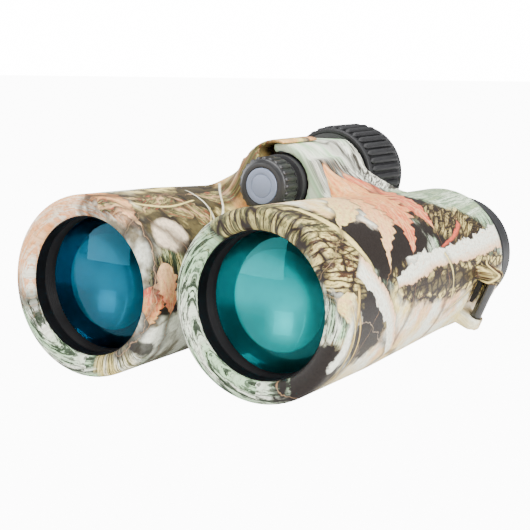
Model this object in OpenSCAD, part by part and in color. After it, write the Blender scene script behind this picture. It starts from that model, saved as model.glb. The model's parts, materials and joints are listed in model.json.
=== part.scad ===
// Roof-prism binoculars with a single central hinge, seen from the objective end along +Y.
// The hinge axis is the Y axis, the origin is the mouth of the tripod socket on it, and +Z is up.
// "left" is the user's left, on +X. Every length along a barrel is measured back from its rim plane.

/* [Barrels] */
// Clear aperture of each objective lens
objective_d = 42; // [38:0.5:46]
// Distance between the two barrel axes as set down
ipd = 62.5; // [60:0.25:68]
// Height of the hinge axis above the barrel axes
hinge_h = 28.4; // [26:0.2:31]
// Diameter of the rubber rim at the objective end
rim_d = 56.7; // [54:0.1:59]
// Diameter of the armoured barrel where its taper begins
waist_d = 54.6; // [52:0.1:57]
// Diameter of the armoured barrel at its rear end
tail_d = 47.6; // [46:0.1:50]
// Length of the armoured barrel from rim plane to rear end
barrel_l = 118.5; // [117:0.5:126]
// Thickness of the rubber armour
armour_t = 2; // [1.5:0.1:2.4]
// Height that the rolled rim stands proud of the rim plane
lip_h = 2.4; // [1.5:0.1:4]

/* [Hinge] */
// Distance from the rim plane back to the mouth of the tripod socket
socket_setback = 51.5; // [48:0.5:53]
// Distance from the socket mouth back to the front knuckle
nose_l = 6.5; // [6:0.1:8]
// Length of the front knuckle, on the right half
front_knuckle_l = 21.7; // [21:0.1:24]
// Length of the rear knuckle, on the left half
rear_knuckle_l = 12; // [11:0.1:14]
// Outer radius of the rear knuckle
knuckle_r = 15; // [14.6:0.1:15.4]
// Radius of the hollow hinge axle
axle_r = 6.5; // [6.2:0.1:7]
// Closing travel of the hinge in degrees
fold_close = 9; // [5:0.5:9.5]
// Opening travel of the hinge in degrees
fold_open = 22; // [10:1:24]

/* [Focus] */
// Radius of the focus wheel over its ribs
wheel_r = 17.35; // [16.5:0.05:19]
// Length of the focus wheel
wheel_l = 23.5; // [20:0.5:25]
// Number of ribs around the focus wheel
wheel_ribs = 36; // [24:1:48]
// Travel of the focusing lenses each way
focus_travel = 2.2; // [1.5:0.1:2.4]

/* [Eyepieces] */
// Radius of an eyecup where it starts
eyecup_base_r = 21.3; // [20.8:0.1:22]
// Radius of an eyecup at its end
eyecup_end_r = 19.1; // [18.9:0.1:20]
// Length of the left eyecup
eyecup_l = 15.4; // [15:0.1:17]
// Length that an eyecup twists out
eyecup_travel = 8; // [5:0.5:8]
// Length of the diopter ring on the right eyepiece
diopter_l = 5; // [4.5:0.1:5.5]
// Travel of the right ocular each way
diopter_travel = 1; // [0.5:0.1:1.2]

/* [Tripod cap] */
// Radius of the tripod cap over its ribs
cap_r = 9.4; // [9:0.1:10]
// Number of ribs around the tripod cap
cap_ribs = 24; // [18:1:30]
// Radius of the grey disc in the cap
badge_r = 5.85; // [5:0.05:6.3]
// Radius of the 1/4 inch tripod socket
socket_r = 3.175; // [3:0.005:3.3]
// Depth of the tripod socket
socket_l = 7; // [6:0.5:8]

/* [Strap lugs] */
// Distance of each strap bar behind the rim plane
lug_setback = 100; // [98:0.5:103]
// Angle of the lug below the horizontal, on the outer side
lug_angle = 24; // [20:1:28]
// Diameter of the strap bar
bar_d = 3.6; // [3:0.1:4]
// Free length of the strap bar
bar_free_l = 13; // [11:0.5:14]
// Gap between the bar and the floor of its pocket
bar_gap = 4.4; // [4.2:0.1:4.8]

/* [Hidden] */
$fn = 128;
running = 0.05;             // radial clearance of a part that turns or slides
gap = 0.3;                  // space between two halves that pass each other
eps = 0.01;

barrel_x = ipd / 2;
arm_angle = atan2(hinge_h, barrel_x);           // fall of the line from the hinge to a barrel axis
arm_l = norm([barrel_x, hinge_h]);
rim_r = rim_d / 2;
waist_r = waist_d / 2;
tail_r = tail_d / 2;
waist_at = 38;
shoulder_at = 92;
shoulder_r = tail_r + 0.5;
tail_round = 1.5;

// objective group
lens_r = objective_d / 2 + 0.25;                // edge radius of the objective lenses
hole_r = objective_d / 2 + 0.7;                 // opening in the rubber rim
land_r = hole_r - 0.3;                          // clean bore for an objective cover
land_l = 4.5;
cell_r = lens_r + 1.65;                         // seat of the objective cell in the housing
housing_front = 2.5;                            // the rubber rim covers the housing's front by this
crown_at = 6.2;                                 // vertex of the front lens
crown_t = 7.6;
flint_t = 2.6;
crown_front_R = 88;
cement_R = 66;
flint_back_R = 200;
function sag(R, r) = R - sqrt(R * R - r * r);
crown_edge = crown_at + sag(crown_front_R, lens_r);
flint_edge = crown_at + crown_t + flint_t - sag(flint_back_R, lens_r);
seat_r = lens_r - 1.8;                          // inner edge of the shoulder that the flint rests on
seat_at = crown_at + crown_t + flint_t - sag(flint_back_R, seat_r);
cell_front = crown_edge - 0.2;
cell_back = flint_edge + 4.7;

// housing bores
body_bore = 20.4;
tail_bore = 18.2;
tail_bore_at = 98;

// hinge stations, behind the rim plane
front_knuckle_at = socket_setback + nose_l;
front_knuckle_end = front_knuckle_at + front_knuckle_l;
rear_knuckle_at = front_knuckle_end + gap;
rear_knuckle_end = rear_knuckle_at + rear_knuckle_l;
wheel_at = rear_knuckle_end + 0.7;
wheel_end = wheel_at + wheel_l;
left_arm_at = front_knuckle_at + 3;             // front face of the left arm

// radii about the hinge axis where the two arms pass each other
core_r = knuckle_r - 5.4;                       // right half's knuckle inside the left arm's cover
cover_in_r = core_r + 0.4;
cover_out_r = knuckle_r - 1.9;                  // left arm's cover
lip_in_r = cover_out_r + gap;                   // right arm's lip, which slides over that cover
lip_out_r = lip_in_r + 1.1;
skin_in_r = cover_out_r - 1.4;                  // housing below the armour of a knuckle
seam_angle = 77;                                // edge of the lip above +X
cover_edge_angle = seam_angle + 26;             // edge of the cover below the lip
lip_root_angle = cover_edge_angle + fold_open + 2;
bottom_gap = fold_close + 2;                    // angle left open between the arms under the hinge

// focus group, behind the rim plane
axle_bore = 4.5;
shaft_r = 2;
journal_l = 3.3;
tongue_t = 2;
right_tongue_at = front_knuckle_at + 9;
left_tongue_at = rear_knuckle_at + focus_travel + 0.7;
spool_at = right_tongue_at - 2.5;
spool_end = left_tongue_at + tongue_t + 1.1;
groove_r = 2.9;
tongue_r = 3.1;
focus_cell_r = 14.4;
focus_cell_l = 9;
focus_cell_at = right_tongue_at + tongue_t / 2 - focus_cell_l / 2;
guide_r = focus_cell_r + running + 0.05;
guide_at = focus_cell_at - focus_travel - 2;
guide_l = focus_cell_l + 2 * focus_travel + 3;
arm_w = 4;
channel_w = arm_w + 0.8;

// prism group
cage_at = guide_at + guide_l + 0.5;
cage_end = tail_bore_at - 0.5;
prism_at = cage_at + 2;
prism_end = cage_end - 1.5;
prism_h = 10.5;
prism_w = 17;

// eyepieces
tube_r = 16.6;
tube_bore = 14.5;
tube_end = barrel_l + eyecup_travel + 6;         // long enough to guide the eyecup over its travel
eyecup_at = barrel_l + 2.1;
eyecup_end = eyecup_at + eyecup_l;
diopter_at = barrel_l + 0.7;
right_eyecup_at = diopter_at + diopter_l + 0.5;
guide_sleeve_r = tube_r + 0.8;
shell_in_r = guide_sleeve_r + 0.1;
shell_out_r = shell_in_r + 1.1;
eye_lens_r = 11.8;
lip_bore = 13.4;

// strap lug, in a frame whose +X points out of the barrel through the lug
pocket_floor = 20.6;
bar_at = pocket_floor + bar_gap + bar_d / 2;
lug_w = 9;
ear_t = 4.2;
ear_out = bar_at + bar_d / 2 + 0.9;
bar_l = bar_free_l + 2 * 2.6;
lug_span = bar_free_l + 2 * ear_t;

LEFT = 1;
RIGHT = -1;

// ---------- placing ----------

// Mirrors what is drawn for the left half over to the right half.
module on_side(s) {
    if (s == RIGHT) mirror([1, 0, 0]) children();
    else children();
}

// Moves from a barrel's own frame, axis on Y and rim plane at 0, to its place.
module in_barrel(s) {
    on_side(s) translate([barrel_x, -socket_setback, -hinge_h]) children();
}

// Moves from a frame on the hinge axis, with stations behind the rim plane, to its place.
module on_hinge() {
    translate([0, -socket_setback, 0]) children();
}

// Turns a frame on the hinge axis so that +X points at the left barrel's axis.
module toward_barrel() {
    rotate([0, arm_angle, 0]) children();
}

// Turns a profile of [radius, station] points about the Y axis.
module turned(profile) {
    rotate([-90, 0, 0]) rotate_extrude() polygon(profile);
}

// A tube about the Y axis from station a to station b.
module ring(outer, inner, a, b) {
    rotate([-90, 0, 0]) translate([0, 0, a]) difference() {
        cylinder(r = outer, h = b - a);
        translate([0, 0, -1]) cylinder(r = inner, h = b - a + 2);
    }
}

module rod(r, a, b) {
    rotate([-90, 0, 0]) translate([0, 0, a]) cylinder(r = r, h = b - a);
}

// Extrudes an outline drawn in X and Z from station a to station b.
module slab(a, b) {
    translate([0, b, 0]) rotate([90, 0, 0]) linear_extrude(b - a) children();
}

// Outline of the ring sector between two radii, from angle a to angle b.
module sector(inner, outer, a, b) {
    reach = 3 * outer;
    difference() {
        intersection() {
            circle(r = outer);
            polygon(concat([[0, 0]], [for (i = [0 : 6]) let (t = a + (b - a) * i / 6) reach * [cos(t), sin(t)]]));
        }
        if (inner > 0) circle(r = inner);
    }
}

// ---------- barrel ----------

// Outer radius of the armour at a station.
function skin_r(t) = lookup(t, [[0, rim_r], [waist_at, waist_r], [shoulder_at, shoulder_r], [barrel_l, tail_r]]);

// Points of a quarter ellipse from the start of its radius to the start of its station.
function quarter(centre, half, steps = 6) =
    [for (i = [0 : steps]) let (a = 90 * i / steps) centre + [half[0] * cos(a), half[1] * sin(a)]];

crest_r = (hole_r + rim_r) / 2 + 0.9;
lip_points = concat(
    [[hole_r, housing_front], [hole_r, 0]],
    [for (p = quarter([crest_r, 0], [-(crest_r - hole_r), -lip_h])) p],
    [for (i = [1 : 6]) let (a = 90 - 15 * i) [crest_r + (rim_r - crest_r) * cos(a), -lip_h * sin(a)]]
);

// Solid outer form of the armoured barrel behind its rim.
module barrel_form(inset, a, b) {
    stations = concat([a], [for (t = [waist_at, shoulder_at]) if (t > a && t < b) t], [b]);
    turned(concat([[0, a]], [for (t = stations) [skin_r(t) - inset, t]], [[0, b]]));
}

// Rolled rubber rim and skin of the barrel, without its arm and its lug.
module barrel_skin() {
    tail = barrel_l - tail_round;
    turned(concat(
        lip_points,
        [[waist_r, waist_at], [shoulder_r, shoulder_at], [skin_r(tail), tail],
         [tail_r - tail_round, barrel_l], [skin_r(barrel_l) - armour_t, barrel_l],
         [shoulder_r - armour_t, shoulder_at], [waist_r - armour_t, waist_at],
         [skin_r(housing_front) - armour_t, housing_front]]
    ));
}

// ---------- bridge ----------

// Outline of an arm from the hinge to its barrel, in X and Z; inset is how deep below the skin it lies.
module arm_outline(inset) {
    top_edge = [[13.5, 8], [16.3, 3.6], [21.5, 1.2], [barrel_x - 1.5, skin_r(70) - hinge_h]];
    polygon(concat(
        [[knuckle_r * cos(45) - 2, knuckle_r * sin(45) - 2 - inset]],
        [for (p = top_edge) p - [inset * 0.5, inset]],
        [[barrel_x, -hinge_h]],
        [[barrel_x - skin_r(70) * cos(16) + inset, -hinge_h + skin_r(70) * sin(16)]],
        [[knuckle_r * sin(bottom_gap / 2) + 0.6 + inset, -knuckle_r * cos(bottom_gap / 2) + 1]]
    ));
}

// Angle by which the armour closes over the ends of a knuckle's metal.
function end_wrap(inset) = inset > 0 ? 4 : 0;

// Outline of the left arm beside the right half's knuckle: a cover and the arm outside it.
module left_cover_outline(inset) {
    wrap = end_wrap(inset);
    difference() {
        union() {
            sector(cover_in_r, cover_out_r - inset, -90 + bottom_gap / 2 + wrap, cover_edge_angle - wrap);
            arm_outline(inset);
        }
        circle(r = cover_in_r);
        sector(cover_out_r - inset, 2 * knuckle_r, seam_angle - fold_open - 4 - wrap, 150);
    }
}

// Outline of the rear knuckle, with its flat top.
module rear_knuckle_outline(inset) {
    intersection() {
        circle(r = knuckle_r - inset);
        translate([-knuckle_r, -knuckle_r]) square([2 * knuckle_r, knuckle_r + cover_out_r - inset]);
    }
    arm_outline(inset);
}

// Outline of the right half's arm, drawn on the left: a core on the axle, the arm and its lip.
module front_knuckle_outline(inset) {
    wrap = end_wrap(inset);
    root = 180 - lip_root_angle - wrap;
    below = 270.7 + bottom_gap / 2 + wrap;
    difference() {
        union() {
            circle(r = lip_out_r - inset);
            arm_outline(inset);
        }
        sector(core_r, inset > 0 ? 2 * knuckle_r : lip_in_r, root, below);
        if (inset == 0) sector(lip_in_r - 0.2, 2 * knuckle_r, 180 - seam_angle, below - 0.8);
    }
}

// The whole arm of one half, with everything that is inside its barrel removed later.
module arm_form(s, inset, past = 0) {
    on_hinge() {
        if (s == LEFT) {
            slab(left_arm_at + inset, rear_knuckle_at + inset + 1) left_cover_outline(inset);
            slab(rear_knuckle_at + inset, rear_knuckle_end - inset) rear_knuckle_outline(inset);
        } else {
            slab(front_knuckle_at + inset, front_knuckle_end + past) front_knuckle_outline(inset);
        }
    }
}

// Space that the focus arm of one half moves in, drawn on the left.
module focus_channel(s) {
    slack = focus_travel + 0.4;
    on_hinge() toward_barrel() {
        reach = arm_l - body_bore + 2;
        if (s == LEFT) {
            channel_box(0, 19, left_tongue_at - slack, left_tongue_at + tongue_t + slack);
            channel_box(15, 19, right_tongue_at - slack, left_tongue_at + tongue_t + slack);
            channel_box(15, reach, right_tongue_at - slack, right_tongue_at + tongue_t + slack);
        } else {
            channel_box(0, reach, right_tongue_at - slack, right_tongue_at + tongue_t + slack);
        }
    }
}

module channel_box(from, to, a, b) {
    translate([from, a, -channel_w / 2]) cube([to - from, b - a, channel_w]);
}

// ---------- strap lug ----------

module lug_frame() {
    rotate([0, lug_angle, 0]) translate([0, lug_setback, 0]) children();
}

// Space above the pocket floor, between the two ears.
module lug_pocket() {
    lug_frame() translate([pocket_floor, -lug_w / 2 - 2, -bar_free_l / 2]) cube([20, lug_w + 4, bar_free_l]);
}

// Two ears that hold the strap bar.
module lug_ears(inset) {
    lug_frame() for (z = [-1, 1]) {
        translate([0, 0, z * (bar_free_l + ear_t) / 2]) intersection() {
            translate([pocket_floor - 3, -lug_w / 2 + inset, -ear_t / 2])
                cube([ear_out - pocket_floor + 3 - inset, lug_w - 2 * inset, ear_t]);
            translate([bar_at - 3.5, 0, 0]) cylinder(r = lug_w / 2 + 1.5 - inset, h = 2 * ear_t, center = true);
        }
    }
}

module bar_hole() {
    lug_frame() translate([bar_at, 0, 0]) cylinder(d = bar_d, h = bar_l, center = true);
}

// ---------- outer pieces ----------

module housing(s) {
    color("dimgray") difference() {
        union() {
            in_barrel(s) barrel_form(armour_t, housing_front, barrel_l);
            on_side(s) arm_form(s, armour_t * 0.7);
        }
        in_barrel(s) {
            rod(cell_r, housing_front - 1, cell_back);
            rod(body_bore, cell_back - 1, tail_bore_at);
            rod(tail_bore, tail_bore_at - 1, barrel_l + 1);
            lug_pocket();
            lug_ears(0);
            lug_floor_skin();
        }
        on_hinge() rod(s == LEFT ? axle_r : axle_r + running, 0, barrel_l);
        on_side(s) focus_channel(s);
    }
}

// The armour goes on across the pocket floor, so the housing is lower there.
module lug_floor_skin() {
    lug_frame() translate([pocket_floor - 0.8, -lug_w / 2 - 2, -bar_free_l / 2]) cube([20, lug_w + 4, bar_free_l]);
}

module armour(s) {
    color("rosybrown") difference() {
        union() {
            in_barrel(s) {
                barrel_skin();
                difference() {
                    union() {
                        lug_ears(0);
                        intersection() {
                            barrel_form(0, lug_setback - lug_w / 2 - 2, lug_setback + lug_w / 2 + 2);
                            lug_floor_skin();
                        }
                    }
                    rod(tail_bore + 0.9, lug_setback - 10, lug_setback + 10);
                }
            }
            difference() {
                on_side(s) arm_form(s, 0);
                on_hinge() rod(s == LEFT ? cover_in_r + 0.3 : core_r + 0.2, 0, barrel_l);
                in_barrel(s) barrel_form(armour_t, 0, barrel_l);
            }
        }
        on_side(s) arm_form(s, armour_t * 0.7, 1);
        in_barrel(s) {
            lug_pocket();
            bar_hole();
        }
        on_side(s) focus_channel(s);
    }
}

module strap_bar(s) {
    color([0.05, 0.05, 0.05]) in_barrel(s) bar_hole();
}

// ---------- objective group ----------

module objective_ring(s) {
    pitch = 0.8;
    ridges = floor((cell_front - land_l - 0.5) / pitch);
    color([0.04, 0.04, 0.05]) in_barrel(s) turned(concat(
        [[cell_r, housing_front], [cell_r, cell_front], [lens_r - 0.35, cell_front]],
        [for (i = [ridges : -1 : 1]) each [[land_r, land_l + i * pitch], [land_r - 0.35, land_l + (i - 0.5) * pitch]]],
        [[land_r, land_l], [land_r, 0.4], [hole_r, 0.4], [hole_r, housing_front]]
    ));
}

module objective_cell(s) {
    color([0.08, 0.08, 0.09]) in_barrel(s) turned([
        [cell_r, cell_front], [cell_r, cell_back], [seat_r, cell_back], [seat_r, seat_at], [lens_r, seat_at],
        [lens_r, cell_front]
    ]);
}

// A lens about the Y axis: front and back are [vertex station, radius of curvature], radius < 0 bulges back.
module lens(r, front, back) {
    rotate([-90, 0, 0]) intersection() {
        translate([0, 0, front[0] - 10]) cylinder(r = r, h = back[0] - front[0] + 20);
        translate([0, 0, front[0] + front[1]]) sphere(r = front[1]);
        translate([0, 0, back[0] + back[1]]) sphere(r = -back[1]);
    }
}

module objective_crown(s) {
    color([0.05, 0.55, 0.6]) in_barrel(s)
        lens(lens_r, [crown_at, crown_front_R], [crown_at + crown_t, -cement_R]);
}

module objective_flint(s) {
    back = crown_at + crown_t + flint_t;
    color([0.1, 0.35, 0.5]) in_barrel(s) rotate([-90, 0, 0]) difference() {
        intersection() {
            translate([0, 0, crown_edge]) cylinder(r = lens_r, h = back - crown_edge + 1);
            translate([0, 0, back - flint_back_R]) sphere(r = flint_back_R);
        }
        translate([0, 0, crown_at + crown_t - cement_R]) sphere(r = cement_R);
    }
}

// ---------- focusing group ----------

module focus_guide(s) {
    color([0.1, 0.1, 0.1]) difference() {
        in_barrel(s) {
            ring(body_bore, guide_r, guide_at, guide_at + 2);
            ring(guide_r + 1.2, guide_r, guide_at + 1, guide_at + guide_l);
        }
        on_side(s) focus_channel(s);
        on_side(s) on_hinge() toward_barrel() channel_box(
            15, arm_l - guide_r + 2,
            right_tongue_at - focus_travel - 0.4, right_tongue_at + tongue_t + focus_travel + 0.4
        );
    }
}

module focus_cell(s) {
    end = focus_cell_at + focus_cell_l;
    color([0.15, 0.15, 0.16]) in_barrel(s) turned([
        [focus_cell_r, focus_cell_at], [focus_cell_r, end], [12.4, end], [12.4, focus_cell_at + 4.5],
        [11.4, focus_cell_at + 4.5], [11.4, focus_cell_at]
    ]);
}

module focus_lens(s) {
    front = focus_cell_at + 4.5;
    color([0.7, 0.8, 0.85]) in_barrel(s) turned([
        [0, front + 1.4], [7, front + 0.9], [12.4, front], [12.4, front + 4], [7, front + 3.3], [0, front + 2.9]
    ]);
}

// Tongue in the spool's groove and, on the left, the step forward to the cell.
module focus_arm(s) {
    cell_side = arm_l - focus_cell_r - 0.15;
    color("silver") difference() {
        on_side(s) on_hinge() toward_barrel() {
            if (s == LEFT) {
                arm_plate(tongue_r, 17.8, left_tongue_at, left_tongue_at + tongue_t, 2.4);
                arm_plate(15.8, 17.8, right_tongue_at, left_tongue_at + tongue_t, arm_w);
                arm_plate(15.8, cell_side + 0.8, right_tongue_at, right_tongue_at + tongue_t, arm_w);
            } else {
                arm_plate(tongue_r, 12, right_tongue_at, right_tongue_at + tongue_t, 2.4);
                arm_plate(11, cell_side + 0.8, right_tongue_at, right_tongue_at + tongue_t, arm_w);
            }
        }
        in_barrel(s) rod(focus_cell_r, 0, barrel_l);
    }
}

module arm_plate(from, to, a, b, w) {
    translate([from, a, -w / 2]) cube([to - from, b - a, w]);
}

module focus_spool() {
    groove = tongue_t + 2 * running;
    color("goldenrod") on_hinge() difference() {
        ring(axle_bore - running, shaft_r + running, spool_at, spool_end);
        for (at = [right_tongue_at, left_tongue_at]) {
            ring(axle_bore + 1, groove_r, at - running, at - running + groove);
        }
    }
}

module focus_shaft() {
    journal_at = rear_knuckle_end - journal_l;
    color("silver") on_hinge() {
        rod(shaft_r, spool_at - focus_travel - 1, journal_at + eps);
        rod(axle_bore - running, journal_at, rear_knuckle_end + 0.5);
        rod(shaft_r + 0.5, rear_knuckle_end + 0.4, wheel_end - 2);
    }
}

// ---------- prism group ----------

module prism_cage(s) {
    color([0.2, 0.2, 0.2]) in_barrel(s) difference() {
        rod(body_bore, cage_at, cage_end);
        translate([-prism_w / 2 - 0.3, prism_at - 0.3, -prism_h - 0.3])
            cube([prism_w + 0.6, prism_end - prism_at + 0.6, 2 * prism_h + 3.6]);
        rod(9, cage_at - 1, cage_end + 1);
        for (x = [-1, 1]) translate([x * 26, (cage_at + cage_end) / 2, 0])
            cube([24, prism_end - prism_at, 16], center = true);
        lug_frame() translate([pocket_floor - 3.2, -lug_w / 2 - 2.3, -lug_span / 2 - 0.4])
            cube([20, lug_w, lug_span + 0.8]);
    }
}

// Slope of the air gap between the two prisms.
function prism_split(z) = prism_at + 4.9 + (prism_h - z) * tan(22.5);

module prism_block(s, points) {
    color([0.8, 0.85, 0.88]) in_barrel(s) translate([-prism_w / 2, 0, 0]) rotate([90, 0, 90])
        linear_extrude(prism_w) polygon(points);
}

module half_penta_prism(s) {
    prism_block(s, [
        [prism_at, prism_h], [prism_split(prism_h) - 0.1, prism_h], [prism_split(-prism_h) - 0.1, -prism_h],
        [prism_at + 6, -prism_h], [prism_at, -prism_h + 6]
    ]);
}

module roof_prism(s) {
    far = prism_end;
    eaves = prism_h - prism_w / 2;
    color([0.8, 0.85, 0.88]) intersection() {
        prism_block(s, [
            [prism_split(prism_h) + 0.1, prism_h], [far, prism_h], [far, 3 - prism_h], [far - 3, -prism_h],
            [prism_split(-prism_h) + 0.1, -prism_h]
        ]);
        in_barrel(s) slab(prism_at, far + 1) polygon([
            [-prism_w / 2, -prism_h - 1], [prism_w / 2, -prism_h - 1], [prism_w / 2, eaves], [0, prism_h],
            [-prism_w / 2, eaves]
        ]);
    }
}

module prism_clip(s) {
    color("silver") in_barrel(s) difference() {
        translate([-3, prism_at + 0.5, prism_h]) cube([6, prism_end - prism_at - 1, 2.6]);
        translate([-4, prism_at + 2, prism_h + 0.5]) cube([8, prism_end - prism_at - 4, 1.6]);
    }
}

// ---------- eyepieces ----------

module eyepiece_tube(s) {
    color([0.05, 0.05, 0.05]) in_barrel(s) difference() {
        turned([
            [tail_bore, tail_bore_at], [tail_bore, barrel_l], [tube_r, barrel_l], [tube_r, tube_end],
            [tube_bore, tube_end], [tube_bore, tail_bore_at + 1.5], [11, tail_bore_at + 1.5], [11, tail_bore_at]
        ]);
        if (s == RIGHT) translate([tube_bore - 1, drive_pin_at - diopter_travel - 1.1, -1.1])
            cube([4, 2 * diopter_travel + 2.2, 2.2]);
    }
}

field_lens_at = tail_bore_at + 4;
eye_lens_at = barrel_l + 4.2;
drive_pin_at = diopter_at + diopter_l / 2;
ocular_r = tube_bore - running;

module field_lens(s) {
    r = s == LEFT ? tube_bore : ocular_r - 1;
    color([0.75, 0.8, 0.85]) in_barrel(s) lens(r, [field_lens_at, 60], [field_lens_at + 5, -60]);
}

module eye_lens(s) {
    color([0.3, 0.4, 0.5]) in_barrel(s) lens(eye_lens_r, [eye_lens_at, 45], [eye_lens_at + 5.6, -45]);
}

// Seat of the eye lens, behind a bore that the light passes through.
function eye_seat(outer) = [
    [outer, eye_lens_at - 2], [outer, eye_lens_at + 7], [eye_lens_r - 1.2, eye_lens_at + 7],
    [eye_lens_r, eye_lens_at + 4.2], [eye_lens_r, eye_lens_at], [eye_lens_r - 1.6, eye_lens_at],
    [eye_lens_r - 1.6, eye_lens_at - 2]
];

module eye_lens_ring() {
    color([0.06, 0.06, 0.06]) in_barrel(LEFT) turned(eye_seat(tube_bore));
}

// The right ocular is one sliding cell that holds both of its lenses.
module ocular_cell() {
    color([0.06, 0.06, 0.06]) in_barrel(RIGHT) difference() {
        union() {
            turned(eye_seat(ocular_r));
            ring(ocular_r, ocular_r - 1, field_lens_at - 0.5, eye_lens_at - 1.9);
        }
        translate([ocular_r - 2, drive_pin_at, 0]) rotate([0, 90, 0]) cylinder(r = 0.9, h = 4, $fn = 48);
    }
}

module diopter_drive_pin() {
    color("silver") in_barrel(RIGHT) translate([ocular_r - 2, drive_pin_at, 0]) rotate([0, 90, 0])
        cylinder(r = 0.9, h = tube_r + 0.8 - ocular_r + 2, $fn = 48);
}

module diopter_ring() {
    ribs = 40;
    inner = tube_r + running;
    outer = eyecup_base_r + 0.2;
    b = diopter_at + diopter_l;
    color([0.05, 0.05, 0.05]) in_barrel(RIGHT) difference() {
        turned([
            [inner, diopter_at], [outer - 0.5, diopter_at], [outer, diopter_at + 0.5], [outer, b - 0.5],
            [outer - 0.5, b], [inner, b]
        ]);
        rod(tube_r + 1, drive_pin_at - diopter_travel - 1.1, drive_pin_at + diopter_travel + 1.1);
        for (i = [0 : ribs - 1]) rotate([0, i * 360 / ribs, 0])
            translate([outer + 0.25, diopter_at + 0.9, 0]) rotate([-90, 0, 0])
                cylinder(r = 0.6, h = diopter_l - 1.8, $fn = 24);
    }
}

function cup_at(s) = s == LEFT ? eyecup_at : right_eyecup_at;

module eyecup_guide(s) {
    color([0.12, 0.12, 0.12]) in_barrel(s)
        ring(guide_sleeve_r, tube_r + running, cup_at(s) + 0.4, tube_end - 2);
}

module eyecup_shell(s) {
    end = eyecup_end - 1.5;
    color([0.08, 0.08, 0.08]) in_barrel(s) turned([
        [shell_in_r, cup_at(s) + 0.4], [shell_out_r, cup_at(s) + 0.4], [shell_out_r, end], [lip_bore + 0.8, end],
        [lip_bore + 0.8, end - 1], [shell_in_r, end - 1]
    ]);
}

// Outer radius of an eyecup at a station.
function cup_r(t) = eyecup_base_r + (eyecup_end_r - eyecup_base_r) * (t - eyecup_at) / (eyecup_l - 1.5);

module eyecup_rubber(s) {
    end = eyecup_end - 1.5;
    color([0.03, 0.03, 0.03]) in_barrel(s) turned(concat(
        [[shell_out_r, cup_at(s) + 0.4], [shell_out_r, cup_at(s)], [cup_r(cup_at(s)) - 0.4, cup_at(s)],
         [cup_r(cup_at(s) + 0.5), cup_at(s) + 0.5]],
        [for (i = [0 : 4]) let (a = 22.5 * i) [eyecup_end_r - 1.5 + 1.5 * cos(a), end + 1.5 * sin(a)]],
        [[lip_bore + 0.6, eyecup_end], [lip_bore, eyecup_end - 0.6], [lip_bore, end - 1.2],
         [lip_bore + 0.8, end - 1.2], [lip_bore + 0.8, end], [shell_out_r, end]]
    ));
}

// ---------- hinge ----------

// Window in the axle for one tongue; sweep is how far that arm turns round the axle each way.
module axle_window(s, at, sweep) {
    slack = focus_travel + 0.4;
    half = asin(1.2 / axle_bore) + 4;
    mid = -arm_angle;
    on_side(s) on_hinge() slab(at - slack, at + tongue_t + slack)
        sector(axle_bore - 1, axle_r + 1, mid - half - sweep[0], mid + half + sweep[1]);
}

module hinge_axle() {
    thread_pitch = 1.5;
    thread_l = nose_l - 1;
    color("gray") difference() {
        union() {
            on_hinge() rod(axle_r, socket_setback + thread_l, rear_knuckle_end + 3);
            turned(concat(
                [[0, 0], [axle_r - 0.6, 0]],
                [for (i = [0 : floor(thread_l / thread_pitch) - 1]) each [
                    [axle_r - 0.6, 0.5 + i * thread_pitch], [axle_r, 0.5 + (i + 0.5) * thread_pitch],
                    [axle_r - 0.6, 0.5 + (i + 1) * thread_pitch]]],
                [[axle_r - 0.6, thread_l], [axle_r, thread_l], [axle_r, thread_l + 1], [0, thread_l + 1]]
            ));
        }
        rod(socket_r, -1, socket_l);
        on_hinge() rod(axle_bore, socket_setback + socket_l + 1.8, barrel_l);
        axle_window(LEFT, left_tongue_at, [0, 0]);
        axle_window(RIGHT, right_tongue_at, [fold_close, fold_open]);
    }
}

module hinge_washer() {
    color("gainsboro") on_hinge()
        ring(core_r - 0.4, axle_r + running, front_knuckle_end + eps, rear_knuckle_at - eps);
}

module hinge_lock_nut() {
    color("gray") on_hinge() difference() {
        ring(axle_r + 3.2, axle_r, rear_knuckle_end + 0.2, rear_knuckle_end + 2.9);
        for (a = [0, 90, 180, 270]) rotate([0, a, 0])
            translate([axle_r + 2, rear_knuckle_end + 1.5, -1]) cube([3, 3, 2]);
    }
}

// ---------- focus wheel ----------

hub_r = wheel_r - 2.5;
cap_t = 1.8;

module focus_wheel_hub() {
    color([0.1, 0.1, 0.1]) on_hinge() difference() {
        rod(hub_r, wheel_at, wheel_end);
        rod(axle_r + 4, wheel_at - 1, wheel_at + 4.5);
        rod(shaft_r + 0.5, wheel_at, wheel_end + 1);
        ring(hub_r - 1.2, shaft_r + 3, wheel_end - 14, wheel_end + 1);
        rod(shaft_r + 4, wheel_end - cap_t, wheel_end + 1);
    }
}

// Rubber tyre with rounded ribs between two plain edges.
module focus_wheel_grip() {
    plain = 1.4;
    groove = 0.6;
    edge_r = wheel_r - groove - 0.2;
    color([0.06, 0.06, 0.06]) on_hinge() difference() {
        turned([
            [hub_r, wheel_at], [edge_r - 0.7, wheel_at], [edge_r, wheel_at + 0.7], [edge_r, wheel_at + plain],
            [wheel_r, wheel_at + plain + 0.6], [wheel_r, wheel_end - plain - 0.6], [edge_r, wheel_end - plain],
            [edge_r, wheel_end - 0.7], [edge_r - 0.7, wheel_end], [hub_r, wheel_end]
        ]);
        for (i = [0 : wheel_ribs - 1]) rotate([0, i * 360 / wheel_ribs, 0])
            translate([wheel_r + 0.05, wheel_at + plain + 0.05, 0]) rotate([-90, 0, 0])
                cylinder(r = groove, h = wheel_l - 2 * plain - 0.1, $fn = 24);
    }
}

module focus_wheel_cap() {
    r = hub_r - 1.2;
    color([0.12, 0.12, 0.12]) on_hinge() turned([
        [0, wheel_end - cap_t], [r, wheel_end - cap_t], [r, wheel_end], [r - 0.6, wheel_end + 0.5],
        [r * 0.6, wheel_end + 1], [0, wheel_end + 1.2]
    ]);
}

// ---------- tripod cap ----------

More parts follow.
